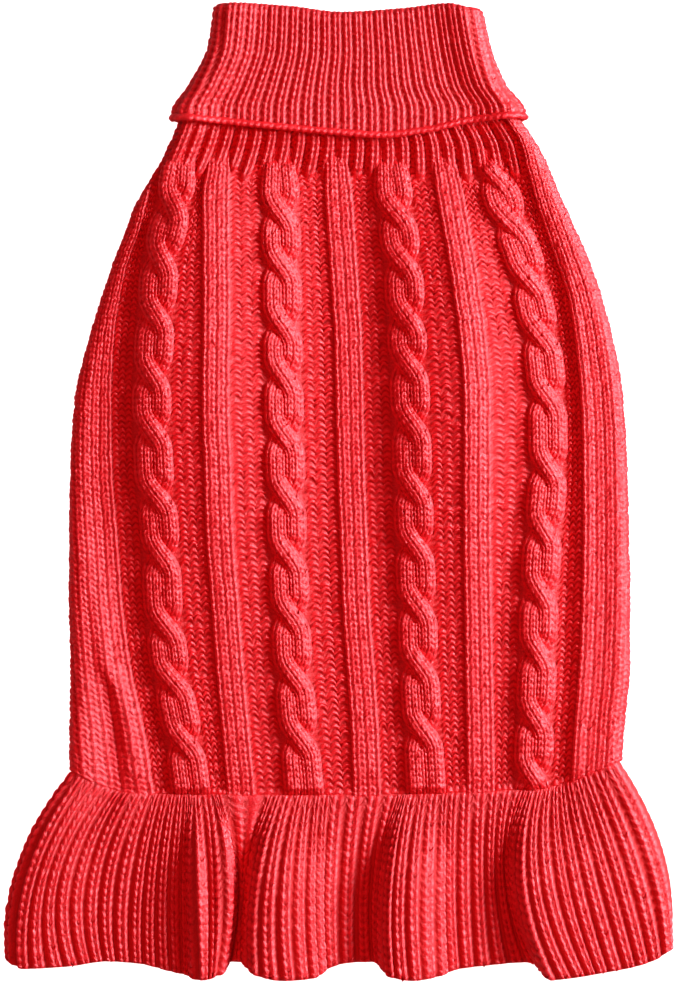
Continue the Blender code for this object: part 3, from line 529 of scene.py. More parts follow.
def closed_panel(outer, crest, inner, columns, rows, turned=False):
    """An outer grid of stitches with a plain inner face, joined all round."""
    cloth = Cloth()
    top = cloth.add_points(outer, crest)
    low = cloth.add_points(inner, HIDDEN_SHADE)
    cloth.skin(top, PANEL_PATCH, turned)
    cloth.skin(low, INNER_PATCH, not turned)
    u0, v0, wide, high = PANEL_PATCH
    u1, v1 = u0 + wide, v0 + high
    u_left, v_low = u0 - STRIP_AWAY, v0 - STRIP_AWAY
    cloth.close_edge(top[0], low[0], columns, ((u0, v_low), (u1, v_low)), not turned)
    cloth.close_edge(top[-1], low[-1], columns, ((u0, v1), (u1, v1)), turned)
    cloth.close_edge(top[:, 0], low[:, 0], rows, ((u_left, v0), (u_left, v1)), turned)
    cloth.close_edge(top[:, -1], low[:, -1], rows, ((u1, v0), (u1, v1)), not turned)
    return cloth


def closed_ring(name, points, crest, material, node, slot):
    """A piece from a grid of points that is closed both ways."""
    cloth = Cloth()
    ids = cloth.add_points(points, crest)
    cloth.skin(closed_up(closed_up(ids, 0), 1), FULL_PATCH, turned=True)
    return cloth.finish(name, material, node, slot)


# ---- back

BACK_ROWS = 114
ROWS_CLOSER = 0.08  # the rows are closer together at the neck than at the hem by this share, both ways
BACK_SPLIT = 35  # the back is made as a left and a right part that meet at this wale
BAND_WALES = 9
CABLE_WALES = 6
RIB_WALES = 3
PLAIN_EVERY = 8  # rows of points of the stitches for one on the inner face

# The wales of the back from left to right, and the lines of the pattern that they are held to: the first
# wale, the line's name, and which side of it.
BACK_KINDS = "k" * BAND_WALES
ANCHORS = [(0, None, 0), (BAND_WALES, "band_l", 0)]
RIB_STARTS = []
for middle_name in MIDDLES:
    BACK_KINDS += "ppp"
    if middle_name not in CROSSINGS:
        RIB_STARTS.append(len(BACK_KINDS))
    ANCHORS.append((len(BACK_KINDS), middle_name, -1))
    BACK_KINDS += "c" * CABLE_WALES if middle_name in CROSSINGS else "k" * RIB_WALES
    ANCHORS.append((len(BACK_KINDS), middle_name, 1))
BACK_KINDS += "ppp"
BAND_AGAIN = len(BACK_KINDS)
BACK_KINDS += "k" * BAND_WALES
ANCHORS += [(BAND_AGAIN, "band_r", 0), (len(BACK_KINDS), None, 1)]


def row_y(low, share, high=NECK_SEAM_Y):
    return low + (high - low) * share * (1 + ROWS_CLOSER - ROWS_CLOSER * share)


def anchor_way(anchor, y):
    """How far round the tube a named line of the pattern lies."""
    _, name, side = anchor
    if name is None:
        return girth(y, BODY) * side
    return way_of(BODY[name](y) + side * half_width(name, y), y)


def back_way(across, y):
    """How far round the tube a wale lies at each height."""
    way = np.zeros_like(y)
    for one, other in zip(ANCHORS, ANCHORS[1:]):
        columns = np.where((across >= one[0]) & (across <= other[0]))[0]
        part = y[:, columns]
        share = (across[columns] - one[0]) / (other[0] - one[0])
        way[:, columns] = anchor_way(one, part) + share * (anchor_way(other, part) - anchor_way(one, part))
    return way


def back_hem(across):
    """y of the hem seam under each wale."""
    level = np.full((1, len(across)), HEM_LEVEL)
    x = tube_point(back_way(across, level), level, CLOTH, BODY)[0, :, 0]
    return HEM_SEAM_Y(x) + SEAM_OPEN


def back_height(stitches, across, y):
    """Height of the crests of the yarn over the inner face."""
    knit = np.full(len(across), BAND)
    in_rib = np.zeros(len(across), bool)
    half = RIB_WALES / 2
    for start in RIB_STARTS:
        inside = (across > start) & (across < start + RIB_WALES)
        in_rib |= inside
        knit[inside] = RIB - RIB_SAG * ((across[inside] - start - half) / half) ** 4
    near_edge = np.minimum(np.abs(across - BAND_WALES), np.abs(across - BAND_AGAIN))
    in_band = (across < BAND_WALES) | (across > BAND_AGAIN)
    knit[in_band] += BAND_LIP * np.exp(-((near_edge[in_band] - 0.6) / 0.8) ** 2)
    full = np.where(stitches.is_purl, GROUND, knit)
    full = np.where(stitches.is_bed, BED, full)
    full = np.where(stitches.at_step, GROUND - 0.2, full)
    low = stitches.is_purl | stitches.at_step
    neck = np.where(low, SUNK_PURL, SUNK_KNIT)
    share = np.where(stitches.is_purl, rise(*PURL_SINKS_Y, y), rise(*KNIT_SINKS_Y, y))
    share = np.where((in_rib | low) & ~in_band, share, 0)
    full = full + (neck - full) * share
    gathered = 1 - rise(HEM_LEVEL - 6, HEM_LEVEL + 3, y)
    return full + (np.minimum(full, 2.5) - full) * gathered


def knit_heights(stitches, height, crest):
    deep = np.where(stitches.is_purl, PURL_DEEP, KNIT_DEEP)
    uneven = np.where(stitches.is_purl, PURL_UNEVEN, KNIT_UNEVEN)
    return height - deep * (1 - crest) + uneven * stitches.per_stitch(stitches.lift)


def back_part(name, first, last, seed, material):
    stitches = Stitches(BACK_KINDS[first:last], BACK_ROWS, seed)
    across = stitches.across + first
    hem = back_hem(across)[None, :]
    y = row_y(hem, stitches.warped_rows() / BACK_ROWS)
    crest = stitches.crest()
    height = knit_heights(stitches, back_height(stitches, across, y), crest)
    way = back_way(across, y) + SIDE_SLIP * stitches.per_stitch(stitches.shift)
    outer = tube_point(way, y, height, BODY)
    columns = stitches.first_columns
    rows = list(range(0, len(stitches.rows), PLAIN_EVERY))
    inner_y = row_y(hem[:, columns], stitches.rows[rows, None] / BACK_ROWS)
    inner = tube_point(back_way(across[columns], inner_y), inner_y, 0, BODY)
    cloth = closed_panel(outer, stitches.tone(crest), inner, columns, rows)
    return cloth.finish(name, material, "back_panel", "back_knit")


def strand_path(cable, strand, y):
    """The middle of one of a cable's two strands: x, the height of its crest, and its side of the cable."""
    side = np.full_like(y, -1 if strand == 0 else 1)
    lift = np.zeros_like(y)
    for i, crossing in enumerate(CROSSINGS[cable]):
        is_front = (i + strand) % 2 == 0
        to_other = 2 if is_front else -2
        t = np.clip((y - crossing) / CROSS_LONG, -1, 1)
        side = side + to_other * (1 - np.sin(math.pi / 2 * t)) / 2
        near = np.cos(math.pi / 2 * np.clip((y - crossing) / (1.15 * CROSS_LONG), -1, 1)) ** 2
        lift = lift + near * (STRAND_OVER if is_front else -STRAND_UNDER)
    x = BODY[cable](y) + side * STRAND_APART * pinch_at(y)
    return x, STRAND_TOP + lift, side


def cable_strand(cloth, cable, strand, seed, patch):
    """One strand, three knit wales wide, arched over the bed of the cable."""
    start = float(HEM_SEAM_Y(BODY[cable](HEM_LEVEL))) + SEAM_GAP / 2
    rows_up = round((STRANDS_END_Y - start) / COURSE)
    stitches = Stitches("kkk", rows_up, seed)
    y_middle = row_y(start, stitches.warped_rows() / rows_up, STRANDS_END_Y)
    x, top, side = strand_path(cable, strand, y_middle)
    nearby = 0.3
    x_above = strand_path(cable, strand, y_middle + nearby)[0]
    slope = (x_above - strand_path(cable, strand, y_middle - nearby)[0]) / (2 * nearby)
    long = np.sqrt(1 + slope * slope)
    across = (stitches.across / 1.5 - 1)[None, :]
    half = STRAND_WIDE * pinch_at(y_middle)
    ends = np.clip(np.minimum(stitches.rows, rows_up - stitches.rows), 0, 1)[:, None]
    beside_other = np.abs(side) ** 3 * (across * side < 0)
    px = x + across * (half + (STRAND_MEET - half) * beside_other) / long
    py = y_middle - across * half * slope / long * ends
    arch = (1 - np.abs(across) ** 2.6) ** 0.45
    arch = arch + (1 - 0.16 * np.abs(across) ** 2 - arch) * beside_other
    sunk = np.maximum(rise(*STRAND_SINKS_Y, y_middle), 1 - rise(start - 1, start + 3, y_middle))
    top = top + (SUNK_STRAND - top) * sunk
    height = STRAND_EDGE + (top - STRAND_EDGE) * arch
    crest = stitches.crest()
    points = on_back(px, py, np.maximum(knit_heights(stitches, height, crest), 0.3))
    feet = on_back(px[:, [-1, 0]], py[:, [-1, 0]], STRAND_EDGE - 0.4)
    # Painted shade on the feet of the strand, where it meets the bed.
    tone = np.concatenate([stitches.tone(crest), np.full(feet.shape[:-1], 0.1)], axis=1)
    ids = cloth.add_points(np.concatenate([points, feet], axis=1), tone)
    cloth.skin(ids[:, :-2], patch)
    u0, v0, wide, high = patch
    cloth.skin(ids[:, [-3, -2, -1, 0]], (u0 + wide + STRIP / 2, v0, STRIP, high))
    for ring, order in ((ids[0], -1), (ids[-1], 1)):
        triangles = np.array([(ring[0], ring[i], ring[i + 1]) for i in range(1, len(ring) - 1)])
        spot = np.full((len(triangles), 3, 2), (u0, v0))
        spot[:, 1, 0] += 0.001
        spot[:, 2, 1] += 0.001
        cloth.add_faces(triangles[:, ::order], spot)


NECK_RIBS = 23
NECK_RIBS_Y = 121  # where the lowest of them start
NECK_RIB_HIGH = 3.7
NECK_GROOVE = 1.7
NECK_TONE = 0.82  # they lie in the shade of the cuff
# Where they start, and the height of what they grow out of: on the ground, on a cable and on a rib.
FROM_GROUND, FROM_CABLE, FROM_RIB = (124, 1.6), (129, 4.7), (131, RIB)
RIB_COLUMNS = {"k": 6, "p": 3}


def neck_ribs(material):
    """The narrow ribs that gather the back into the collar."""
    kinds = "pk" * NECK_RIBS + "p"
    rows_up = 12
    stitches = Stitches(kinds, rows_up, 41, RIB_COLUMNS, knit_wide=1.34, notch=1)
    y = NECK_RIBS_Y + (NECK_SEAM_Y - NECK_RIBS_Y) * stitches.warped_rows() / rows_up
    share = (stitches.across / stitches.across[-1])[None, :]
    left = np.maximum(BODY["band_l"](y) + 1, BODY["left"](y) + 0.5)
    x = left + (BODY["band_r"](y) - 1 - left) * share
    crest = stitches.crest()
    starts, under = (np.full_like(y, value) for value in FROM_GROUND)
    for name in MIDDLES:
        over, top = FROM_CABLE if name in CROSSINGS else FROM_RIB
        off = np.abs(x - BODY[name](y)) / half_width(name, y)
        on = 1 - rise(0.92, 1.12, off)
        starts = starts + (over - starts) * on
        under = under + (top * (1 - 0.3 * np.minimum(off, 1) ** 3) - under) * on
    uneven = np.random.default_rng(5).normal(0, 1, len(kinds) + 1)[stitches.wale][None, :]
    point = np.where(stitches.is_knit, 3 * np.abs(2 * stitches.part - 1), 0)
    starts = starts + 1.2 * uneven + point * (under < 2)
    risen = rise(starts - 2.5, starts, y)
    knit_full = under + (NECK_RIB_HIGH - under) * rise(starts - 1, starts + 3, y)
    purl_full = under + (NECK_GROOVE - under) * rise(starts, starts + 4, y)
    full = np.where(stitches.is_knit, knit_full, purl_full)
    sunk = rise(142, 148, y)
    full = full + (2.2 - full) * sunk
    height = knit_heights(stitches, full, crest)
    height = 0.6 + (height - 0.6) * risen
    cloth = Cloth()
    cloth.skin(cloth.add_points(on_back(x, y, height), NECK_TONE * stitches.tone(crest)), FULL_PATCH)
    return cloth.finish("neck_ribs", material, "back_panel", "back_knit")


# ---- belly

BELLY_WALES = 58
BELLY_ROWS = 106
BELLY_DEEP = 0.75


def belly_piece(material):
    """A plain sheet of knit stitches between the back's two flaps, with a hole for each front leg."""
    stitches = Stitches("k" * BELLY_WALES, BELLY_ROWS, 7, {"k": 4}, 2)
    inset = FOLD_RADIUS + FLAP + SEAM_GAP
    share = (stitches.across / BELLY_WALES)[None, :]

    def x_at(y):
        left = BODY["left"](y) + inset
        return left + (BODY["right"](y) - inset - left) * share

    hem = HEM_SEAM_Y(x_at(np.full((1, len(stitches.across)), HEM_LEVEL))) + SEAM_GAP / 2
    y = hem + (NECK_SEAM_Y - hem) * stitches.warped_rows() / BELLY_ROWS
    crest = stitches.crest()
    height = CLOTH - BELLY_DEEP * (1 - crest)
    outer = np.stack([x_at(y), y, lift_at(y) + CLOTH - height], axis=-1)
    columns = stitches.first_columns
    rows = list(range(0, len(stitches.rows), PLAIN_EVERY // 2))
    plain = hem + (NECK_SEAM_Y - hem) * stitches.rows[:, None] / BELLY_ROWS
    inner_y = plain[rows][:, columns]
    inner = np.stack([x_at(plain)[rows][:, columns], inner_y, lift_at(inner_y) + CLOTH], axis=-1)
    cloth = closed_panel(outer, crest, inner, columns, rows, turned=True)
    piece = cloth.finish("belly_stitches", material, "belly_panel", "belly_knit")
    for centre_x in LEG_HOLES.values():
        cut_leg_hole(piece, centre_x)
    return piece


def cut_leg_hole(piece, centre_x):
    bpy.ops.mesh.primitive_cylinder_add(vertices=96, radius=MM, depth=20 * MM)
    cutter = bpy.context.active_object
    cutter.scale = (*LEG_HOLE_HALF, 1)
    cutter.location = (centre_x * MM, LEG_HOLE_Y * MM, 0)
    bpy.context.view_layer.update()
    hole = piece.modifiers.new("leg_hole", "BOOLEAN")
    hole.operation = "DIFFERENCE"
    hole.solver = "MANIFOLD"
    hole.object = cutter
    graph = bpy.context.evaluated_depsgraph_get()
    cut = bpy.data.meshes.new_from_object(piece.evaluated_get(graph))
    piece.modifiers.clear()
    old = piece.data
    piece.data = cut
    cut.name = old.name
    bpy.data.meshes.remove(old)
    bpy.data.objects.remove(cutter, do_unlink=True)


def leg_hole_edge(name, centre_x, material):
    """The bound-off edge of a leg hole: a row of chain stitches round it."""
    stitches = 66
    steps = stitches * 6
    around = np.arange(steps) / steps
    turn = 2 * math.pi * around
    ring = np.linspace(0, 2 * math.pi, 9)[:-1]
    slant = 0.35
    phase = (around[None, :] * stitches + slant * np.sin(ring)[:, None]) % 1
    plump = 1 - 0.32 * (1 - np.sin(math.pi * phase) ** 0.7)
    radius = 1.15 * plump
    out = 0.2 + radius * np.cos(ring)[:, None]
    up = radius * np.sin(ring)[:, None]
    x = centre_x + (LEG_HOLE_HALF[0] + out) * np.cos(turn)[None, :]
    y = LEG_HOLE_Y + (LEG_HOLE_HALF[1] + out) * np.sin(turn)[None, :]
    z = np.broadcast_to(CLOTH / 2 + up, x.shape)
    # Painted shade between the chain stitches and a painted highlight on their plump middles.
    crest = np.clip((plump - 0.68) * 3, 0, 1)
    return closed_ring(name, np.stack([x, y, z], axis=-1), crest, material, "belly_panel", "belly_knit")


# ---- collar

def collar_piece(material):
    """The turtleneck: up from the neck seam, over its fold and down again as a cuff."""
    ribs_under = 22
    rows_up = 19
    on_top = 2 * COLLAR_RIBS
    kinds = "kp" * (COLLAR_RIBS + ribs_under)
    stitches = Stitches(kinds, rows_up, 17, RIB_COLUMNS, knit_wide=1.62, coarse_from=on_top, notch=1.05)
    turn = CLOTH + SEAM_GAP / 2
    cuff_inside = CLOTH + SEAM_GAP
    outside = cuff_inside + CLOTH
    seam = NECK_SEAM_Y + SEAM_GAP

    def way_at(y):
        """How far round the neck each column lies: over the top first, then underneath."""
        y = np.broadcast_to(y, stitches.across.shape)
        whole = girth(y, NECK)
        below = top_width(y, NECK)
        top_share = stitches.across / on_top
        under_share = (stitches.across - on_top) / (2 * ribs_under)
        over = FLAP + (whole - 2 * FLAP) * top_share
        way = np.where(top_share <= 1, over, whole - FLAP + below * under_share)
        return np.where(way > whole - FLAP + below / 2, way - whole + 2 * FLAP - below, way)

    def place(y, depth):
        return tube_point(way_at(y), y, depth, NECK)

    level = np.zeros_like(stitches.across)
    at_fold = place(level + FOLD_LEVEL, level)
    at_rim = place(level + RIM_LEVEL, level)
    round_rim = way_at(level + RIM_LEVEL)
    from_below = np.minimum(round_rim, girth(RIM_LEVEL, NECK) - round_rim)
    upper = rise(FLAP, FLAP + 0.83 * ARC, from_below)
    fold_y = COLLAR_TOP_Y(at_fold[:, 0])
    rim_y = CUFF_RIM_BELOW + (CUFF_RIM_Y(at_rim[:, 0]) - CUFF_RIM_BELOW) * upper
    fold_centre = fold_y - turn
    crest_table = stitches.crest()
    loose = stitches.lift[:, np.clip(stitches.wale, 0, len(kinds) - 1)]

    rows = []  # y, depth and crest of each row round the folded wall
    plain = np.full_like(level, 0.5)
    knit = stitches.is_knit[0]
    swell = np.where(knit, 0.65, np.where(stitches.is_purl[0], -0.35, -0.2))
    deep = np.where(knit, 1.15 * KNIT_DEEP, 0.45)

    def add(y, depth, value=plain):
        rows.append((np.broadcast_to(y, level.shape), np.broadcast_to(depth, level.shape), value))

    def ribbed(row):
        value = crest_table[row]
        relief = swell - deep * (1 - value) + 0.07 * loose[min(row // 4, rows_up)] * (stitches.part > 0)
        # Painted shade in the purl troughs between the ribs.
        return relief, np.where(knit, value, 0.5 * value)

    for share in np.linspace(0, 1, 6)[:-1]:
        add(seam + (fold_centre - seam) * share, 0)
    for angle in (180, 150, 125):
        turned = math.radians(angle)
        add(fold_centre + turn * math.sin(turned), turn + turn * math.cos(turned))
    count = len(stitches.rows)
    arc_rows = 12
    for k in range(count):
        relief, value = ribbed(count - 1 - k)
        lean = (stitches.warped_rows()[count - 1 - k] - stitches.rows[count - 1 - k]) * COURSE
        if k < arc_rows:
            turned = math.radians(115 * (1 - k / arc_rows))
            reach = turn + relief * (0.22 + 0.78 * rise(3, arc_rows, k))
            add(fold_centre + reach * math.sin(turned), turn + reach * math.cos(turned), value)
        else:
            share = (k - arc_rows) / (count - 1 - arc_rows)
            room = min(1, (count - 1 - k) / 4, (k - arc_rows) / 4)
            add(fold_centre + (rim_y + CHAIN_HIGH - fold_centre) * share + lean * room, outside + relief, value)
    chain = np.abs(np.sin(math.pi * (stitches.across + 0.2)))
    # Painted shade between the links of the chain.
    for up, out, slant in CUFF_CHAIN:
        link = np.abs(np.sin(math.pi * (stitches.across + slant)))
        add(rim_y + up - 0.5 * chain + 0.2, outside + out * (0.6 + 0.5 * link), 0.35 + 0.6 * link)
    add(rim_y, outside - CLOTH / 2)
    add(rim_y + RIM_INSIDE, cuff_inside)
    for share in np.linspace(0.25, 1, 4):
        add(rim_y + RIM_INSIDE + (fold_centre - rim_y - RIM_INSIDE) * share, cuff_inside)
    add(fold_centre + SEAM_GAP / 2, turn)
    for share in np.linspace(1, 0, 5):
        add(seam + (fold_centre - seam) * share, CLOTH)

    y, depth, crest = (np.stack(lines) for lines in zip(*rows))
    flare = CUFF_FLARE * (1 - rise(*CUFF_FLARE_Y, y)) * upper[None, :]
    depth = depth + np.where(depth > turn, flare, 0)
    depth = np.where((upper < 0.25)[None, :], np.minimum(depth, outside), depth)
    points = np.stack([place(one, other) for one, other in zip(y, depth)])
    return closed_ring("collar_ribs", points[:, :-1], crest[:, :-1], material, "collar", "collar_knit")


# ---- ruffle

def ruffle_middle():
    """A function for the middle of the ruffle's cloth, and how far round it each fold lies."""
    values = np.array(RUFFLE_TOP + tuple(row + (CLOTH / 2,) * 2 for row in RUFFLE_UNDER))
    halfway, edge = values[:, [1, 4]], values[:, [2, 5]]
    steps = [np.linalg.norm(np.diff(line, axis=0, append=line[:1]), axis=1) for line in (halfway, edge)]
    around = np.concatenate([[0], np.cumsum(sum(steps) / 2)])
    total = around[-1]
    wrapped = np.concatenate([values[-2:], values, values[:3]])
    places = np.concatenate([around[-3:-1] - total, around[:-1], around[:3] + total])
    curves = [smooth_curve(places, wrapped[:, i]) for i in range(values.shape[1])]

    def seam_height(place, x):
        level = np.full_like(x, HEM_LEVEL)
        on_top = lift_at(level) + CLOTH + room_at(x, level, BODY) + CLOTH / 2
        radius = FOLD_RADIUS - CLOTH / 2
        beyond_left = BODY["left"](level) + FOLD_RADIUS - x
        beyond_right = x - BODY["right"](level) + FOLD_RADIUS
        out = np.clip(np.maximum(np.maximum(beyond_left, beyond_right), 0) / radius, 0, 1)
        way = np.where(place <= around[FOLDS_ON_TOP - 1], 1, -1)
        folded = FOLD_RADIUS + way * radius * np.sqrt(1 - out * out)
        return np.where((around[1] <= place) & (place <= around[FOLDS_ON_TOP - 2]), on_top, folded)

    def at(place, down):
        place, down = np.broadcast_arrays(np.asarray(place, float) % total, np.asarray(down, float))
        x_seam, x_half, x_edge, y_edge, z_half, z_edge = (curve(place) for curve in curves)
        x = x_seam * (1 - down) * (1 - 2 * down) + 4 * x_half * down * (1 - down)
        x = x + x_edge * down * (2 * down - 1)
        y_seam = HEM_SEAM_Y(x_seam) - SEAM_OPEN
        y = y_seam + (y_edge - y_seam) * down
        z_seam = seam_height(place, x_seam)
        upper = z_seam + (z_half - z_seam) * rise(0, 0.5, down)
        z = np.where(down < 0.5, upper, z_half + (z_edge - z_half) * rise(0.5, 1, down))
        return np.stack([x, y, z], axis=-1)

    return at, around


def ruffle_piece(material):
    middle, around = ruffle_middle()
    total = around[-1]
    top_end = around[FOLDS_ON_TOP - 1]
    ribs = round(top_end / RUFFLE_RIB_WIDE)
    rows_up = 22
    top = Stitches("kp" * ribs, rows_up, 23, RIB_COLUMNS, knit_wide=1.52, lean=0.95, notch=1.15)
    wide = np.clip(np.random.default_rng(29).normal(1, 0.12, ribs), 0.75, 1.25)
    rib_starts = np.concatenate([[0], np.cumsum(wide)]) * top_end / wide.sum()
    top_place = np.interp(top.across / 2, np.arange(ribs + 1), rib_starts)
    under_ribs = round((total - top_end) / RUFFLE_RIB_WIDE)
    under_place = top_end + (total - top_end) * np.arange(1, 2 * under_ribs) / (2 * under_ribs)

    def face(place, down, height):
        nudge, share = 0.4, 0.01
        across = middle(place + nudge, down) - middle(place - nudge, down)
        below = middle(place, np.minimum(down + share, 1)) - middle(place, np.maximum(down - share, 0))
        normal = np.cross(below, across)
        normal[..., 1] *= down > 0
        normal /= np.maximum(np.linalg.norm(normal, axis=-1, keepdims=True), 1e-9)
        return middle(place, down) + normal * np.asarray(height)[..., None]

    crest = top.crest()
    down = 1 - top.warped_rows() / rows_up
    grown = rise(-0.08, 0.3, down)
    opened = rise(0.25, 0.9, down)
    full = np.where(top.is_knit, RUFFLE_RIB_HIGH + 0.1 + 0.3 * opened, -0.5 - 0.4 * opened)
    full = np.where(top.at_step, -0.25, full) * (0.12 + 0.88 * grown)
    deep = np.where(top.is_knit, 1.5 * KNIT_DEEP, 0.45)
    height = CLOTH / 2 + full - deep * (1 - crest) + 0.09 * top.per_stitch(top.lift)
    height = np.maximum(height, -0.2)
    edge_in = np.interp(down, (0, 0.975, 1), (0, 0, 0.35))
    outer_top = face(top_place, down, height - edge_in)
    # Painted shade in the purl grooves between the ribs, deeper where the ruffle has opened out.
    shade = np.where(top.is_knit, top.tone(crest), (0.55 - 0.7 * grown) * crest)
    plain_down = 1 - top.rows[:, None] / rows_up
    wave = np.where(np.arange(1, 2 * under_ribs) % 2 == 0, 0.25, -0.35)[None, :]
    outer_under = face(under_place, plain_down, CLOTH / 2 + wave)
    outer_under[..., 2] = np.maximum(outer_under[..., 2], 0)
    outer = np.concatenate([outer_top, outer_under], axis=1)
    # Painted shade in the troughs of the plain folds underneath.
    shade = np.concatenate([shade, np.broadcast_to(0.5 + wave, outer_under.shape[:2])], axis=1)

    all_place = np.concatenate([top_place, under_place])
    columns = top.first_columns + list(range(len(top_place), len(all_place), 2))
    rows = list(range(0, len(top.rows), PLAIN_EVERY))
    inner = face(all_place[columns], plain_down[rows], -CLOTH / 2)
    cloth = Cloth()
    out_ids = closed_up(cloth.add_points(outer, shade), 1)
    in_ids = closed_up(cloth.add_points(inner, HIDDEN_SHADE), 1)
    columns = columns + [len(all_place)]
    cloth.skin(out_ids, (0.02, 0.02, 0.95, 0.62))
    cloth.skin(in_ids, (0.02, 0.7, 0.95, 0.25), turned=True)
    cloth.close_edge(out_ids[0], in_ids[0], columns, ((0.02, 0.008), (0.97, 0.008)), turned=True)
    cloth.close_edge(out_ids[-1], in_ids[-1], columns, ((0.02, 0.65), (0.97, 0.65)))
    return cloth.finish("ruffle_ribs", material, "ruffle", "ruffle_knit")


# ---- materials

class Shade:
    """A node socket that takes part in sums."""

    def __init__(self, tree, socket):
        self.tree = tree
        self.socket = socket

    def _math(self, operation, other, swapped=False):
        pair = [other, self] if swapped else [self, other]
        return self.node("ShaderNodeMath", {"operation": operation}, pair)

    def node(self, kind, settings=None, inputs=(), output=0):
        made = self.tree.nodes.new(kind)
        for name, value in (settings or {}).items():
            setattr(made, name, value)
        pairs = inputs.items() if isinstance(inputs, dict) else enumerate(inputs)
        for key, value in pairs:
            if isinstance(value, Shade):
                self.tree.links.new(value.socket, made.inputs[key])
            elif value is not None:
                made.inputs[key].default_value = value
        return Shade(self.tree, made.outputs[output])

    def __add__(self, other):
        return self._math("ADD", other)

    __radd__ = __add__

    def __mul__(self, other):
        return self._math("MULTIPLY", other)

    __rmul__ = __mul__

    def __sub__(self, other):
        return self._math("SUBTRACT", other)

    def __rsub__(self, other):
        return self._math("SUBTRACT", other, swapped=True)

    def between(self, low, high):
        smooth = {"interpolation_type": "SMOOTHSTEP"}
        return self.node("ShaderNodeMapRange", smooth, [self, low, high, 0, 1])

    def mix(self, low, high):
        return self.node("ShaderNodeMix", {"data_type": "RGBA"}, {0: self, 6: low, 7: high}, output=2)

    def noise(self, scale, detail, rough=None):
        settings = {"Vector": self, "Scale": scale, "Detail": detail, "Roughness": rough}
        return self.node("ShaderNodeTexNoise", {}, settings)


# Painted shade for the gaps and holes, the yarn's own red, and a painted highlight for the crests.
GAP_SHADE_RED = (0.57, 0, 0.002, 1)
YARN_RED = (0.8, 0.001, 0.012, 1)
HIGHLIGHT_PINK = (0.92, 0.04, 0.07, 1)
FIBRES = 2000  # how many to the metre, and so on
PLIES = 950
PATCHES = 45


def new_shader(name, values):
    material = bpy.data.materials.new(name)
    material.use_nodes = True
    shader = material.node_tree.nodes["Principled BSDF"]
    for socket, value in values.items():
        shader.inputs[socket].default_value = value
    return material, shader


def yarn_material(name, seed):
    """Soft yarn: darker in the gaps as painted shade and duller there, paler on its crests as a painted
    highlight, with plies and fine fibres.
    """
    shine = {"Specular IOR Level": 1, "IOR": 1.8}
    fuzz = {"Sheen Weight": 0.12, "Sheen Roughness": 0.5, "Sheen Tint": (1, 0.22, 0.22, 1)}
    material, shader = new_shader(name, {**shine, **fuzz})
    tree = material.node_tree
    start = Shade(tree, None)
    spot = start.node("ShaderNodeTexCoord", output="Object")
    crest = start.node("ShaderNodeAttribute", {"attribute_name": "crest"}, output="Fac")
    fibre = spot.noise(FIBRES, 2, 0.6)
    ply = spot.noise(PLIES, 3, 0.65)
    patch = spot.noise(PATCHES + seed, 2)
    tone = crest + (ply - 0.5) * 0.6 + (fibre - 0.5) * 0.5 + (patch - 0.5) * 0.15
    low = tone.between(0.05, 0.7).mix(GAP_SHADE_RED, YARN_RED)
    colour = (tone.between(0.65, 1.25) * 0.75).mix(low, HIGHLIGHT_PINK)
    tree.links.new(colour.socket, shader.inputs["Base Color"])
    rough = 0.85 - tone.between(0, 0.45) * 0.35 + (ply - 0.5) * 0.3
    tree.links.new(rough.socket, shader.inputs["Roughness"])
    bumps = ply * 0.65 + fibre * 0.35
    bump = start.node("ShaderNodeBump", {}, {"Strength": 0.75, "Distance": 0.0009, "Height": bumps})
    tree.links.new(bump.socket, shader.inputs["Normal"])
    return material


def bright_material(name, colour, specular, glow):
    """Plain white that glows a little, for the table and the backdrop."""
    dull = {"Base Color": colour, "Roughness": 0.9, "Specular IOR Level": specular}
    return new_shader(name, {**dull, "Emission Color": WHITE, "Emission Strength": glow})[0]


# ---- the sweater

back_yarn = yarn_material("red_cable_yarn", 0)
back_left = back_part("back_left_stitches", 0, BACK_SPLIT, 11, back_yarn)
back_right = back_part("back_right_stitches", BACK_SPLIT, len(BACK_KINDS), 12, back_yarn)
strands = Cloth()
for i, cable in enumerate(CROSSINGS):
    for j in (0, 1):
        cable_strand(strands, cable, j, 31 + 2 * i + j, (0.01 + 0.12 * (2 * i + j), 0.01, 0.105, 0.97))
cable_strands = strands.finish("cable_strands", back_yarn, "back_panel", "back_knit")
neck_gathers = neck_ribs(back_yarn)
belly_yarn = yarn_material("red_plain_yarn", 3)
belly = belly_piece(belly_yarn)
for side, centre_x in LEG_HOLES.items():
    leg_hole_edge("leg_hole_edge_" + side, centre_x, belly_yarn)
collar = collar_piece(yarn_material("red_collar_yarn", 6))
ruffle = ruffle_piece(yarn_material("red_ruffle_yarn", 9))


def area_light(name, place, wide, watts, tint):
    """A round soft light that is turned to the middle of the sweater."""
    light = bpy.data.lights.new(name, "AREA")
    light.shape = "DISK"
    light.size = wide
    light.energy = watts
    light.color = tint
    lamp = put_in_scene(name, light)
    lamp.location = place
    lamp.rotation_euler = (-Vector(place)).to_track_quat("-Z", "Y").to_euler()
    return lamp


area_light("softbox_right", (1.65, 0.47, 0.99), 0.9, 46, (0.93, 0.92, 1))
fill_above = area_light("fill_above", (-0.4, -0.2, 2.6), 3, 35, (1, 0.08, 0.11))
fill_above.visible_glossy = False


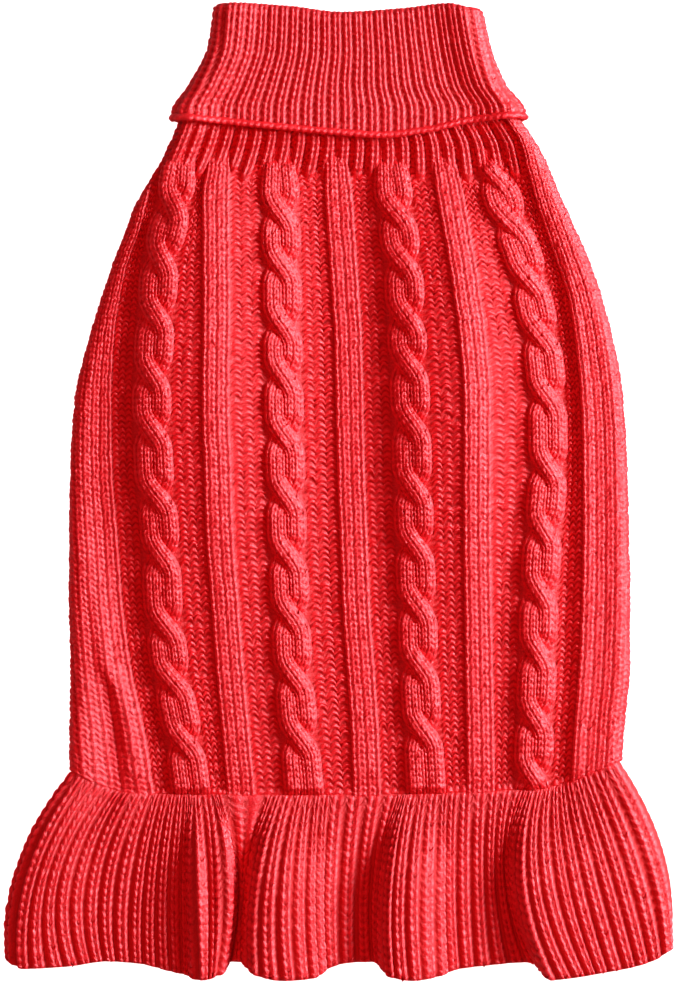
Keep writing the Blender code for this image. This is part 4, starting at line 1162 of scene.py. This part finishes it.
def studio_piece(name, points, faces, material):
    mesh = bpy.data.meshes.new(name)
    mesh.from_pydata(points, [], faces)
    mesh.materials.append(material)
    piece = put_in_scene(name, mesh)
    piece.visible_glossy = False
    return piece


TABLE_HALF = 8
TABLE_Z = -0.0005
WALL_AWAY = 7.5
WALL_SIDES = 60
WALL_Z = (-0.01, 6)

table_points = [(TABLE_HALF * x, TABLE_HALF * y, 0) for x, y in ((-1, -1), (1, -1), (1, 1), (-1, 1))]
white_table = bright_material("white_table", (0.3, 0.3, 0.3, 1), 0.5, 0.82)
table_top = studio_piece("table_top", table_points, [(0, 1, 2, 3)], white_table)
table_top.location = (0, 0, TABLE_Z)

turns = [2 * math.pi * i / WALL_SIDES for i in range(WALL_SIDES)]
wall_points = [(WALL_AWAY * math.cos(turn), WALL_AWAY * math.sin(turn), z) for z in WALL_Z for turn in turns]
next_side = [(i, (i + 1) % WALL_SIDES) for i in range(WALL_SIDES)]
wall_faces = [(i, j, WALL_SIDES + j, WALL_SIDES + i) for i, j in next_side]
white_wall = bright_material("white_wall", BLACK, 0, 0.95)
backdrop = studio_piece("backdrop", wall_points, wall_faces, white_wall)
backdrop.visible_diffuse = False
backdrop.visible_shadow = False

world = bpy.data.worlds.new("studio")
bpy.context.scene.world = world
world.use_nodes = True
background = world.node_tree.nodes["Background"]
background.inputs["Color"].default_value = WHITE
background.inputs["Strength"].default_value = 0.1
world.cycles_visibility.glossy = False
bpy.context.scene.view_settings.view_transform = "Standard"
bpy.context.scene.view_settings.look = "High Contrast"

CAMERA_HIGH = 5
VIEW_HIGH = 985 * 0.4 * MM  # 985 pixels of 0.4 mm
SENSOR = 24
camera_data = bpy.data.cameras.new("camera")
camera_data.sensor_fit = "VERTICAL"
camera_data.sensor_height = SENSOR
camera_data.lens = CAMERA_HIGH * SENSOR / VIEW_HIGH
camera_data.clip_end = 4 * CAMERA_HIGH
camera = put_in_scene("camera", camera_data)
camera.location = (0.4 * MM, -0.8 * MM, CAMERA_HIGH)
bpy.context.scene.camera = camera
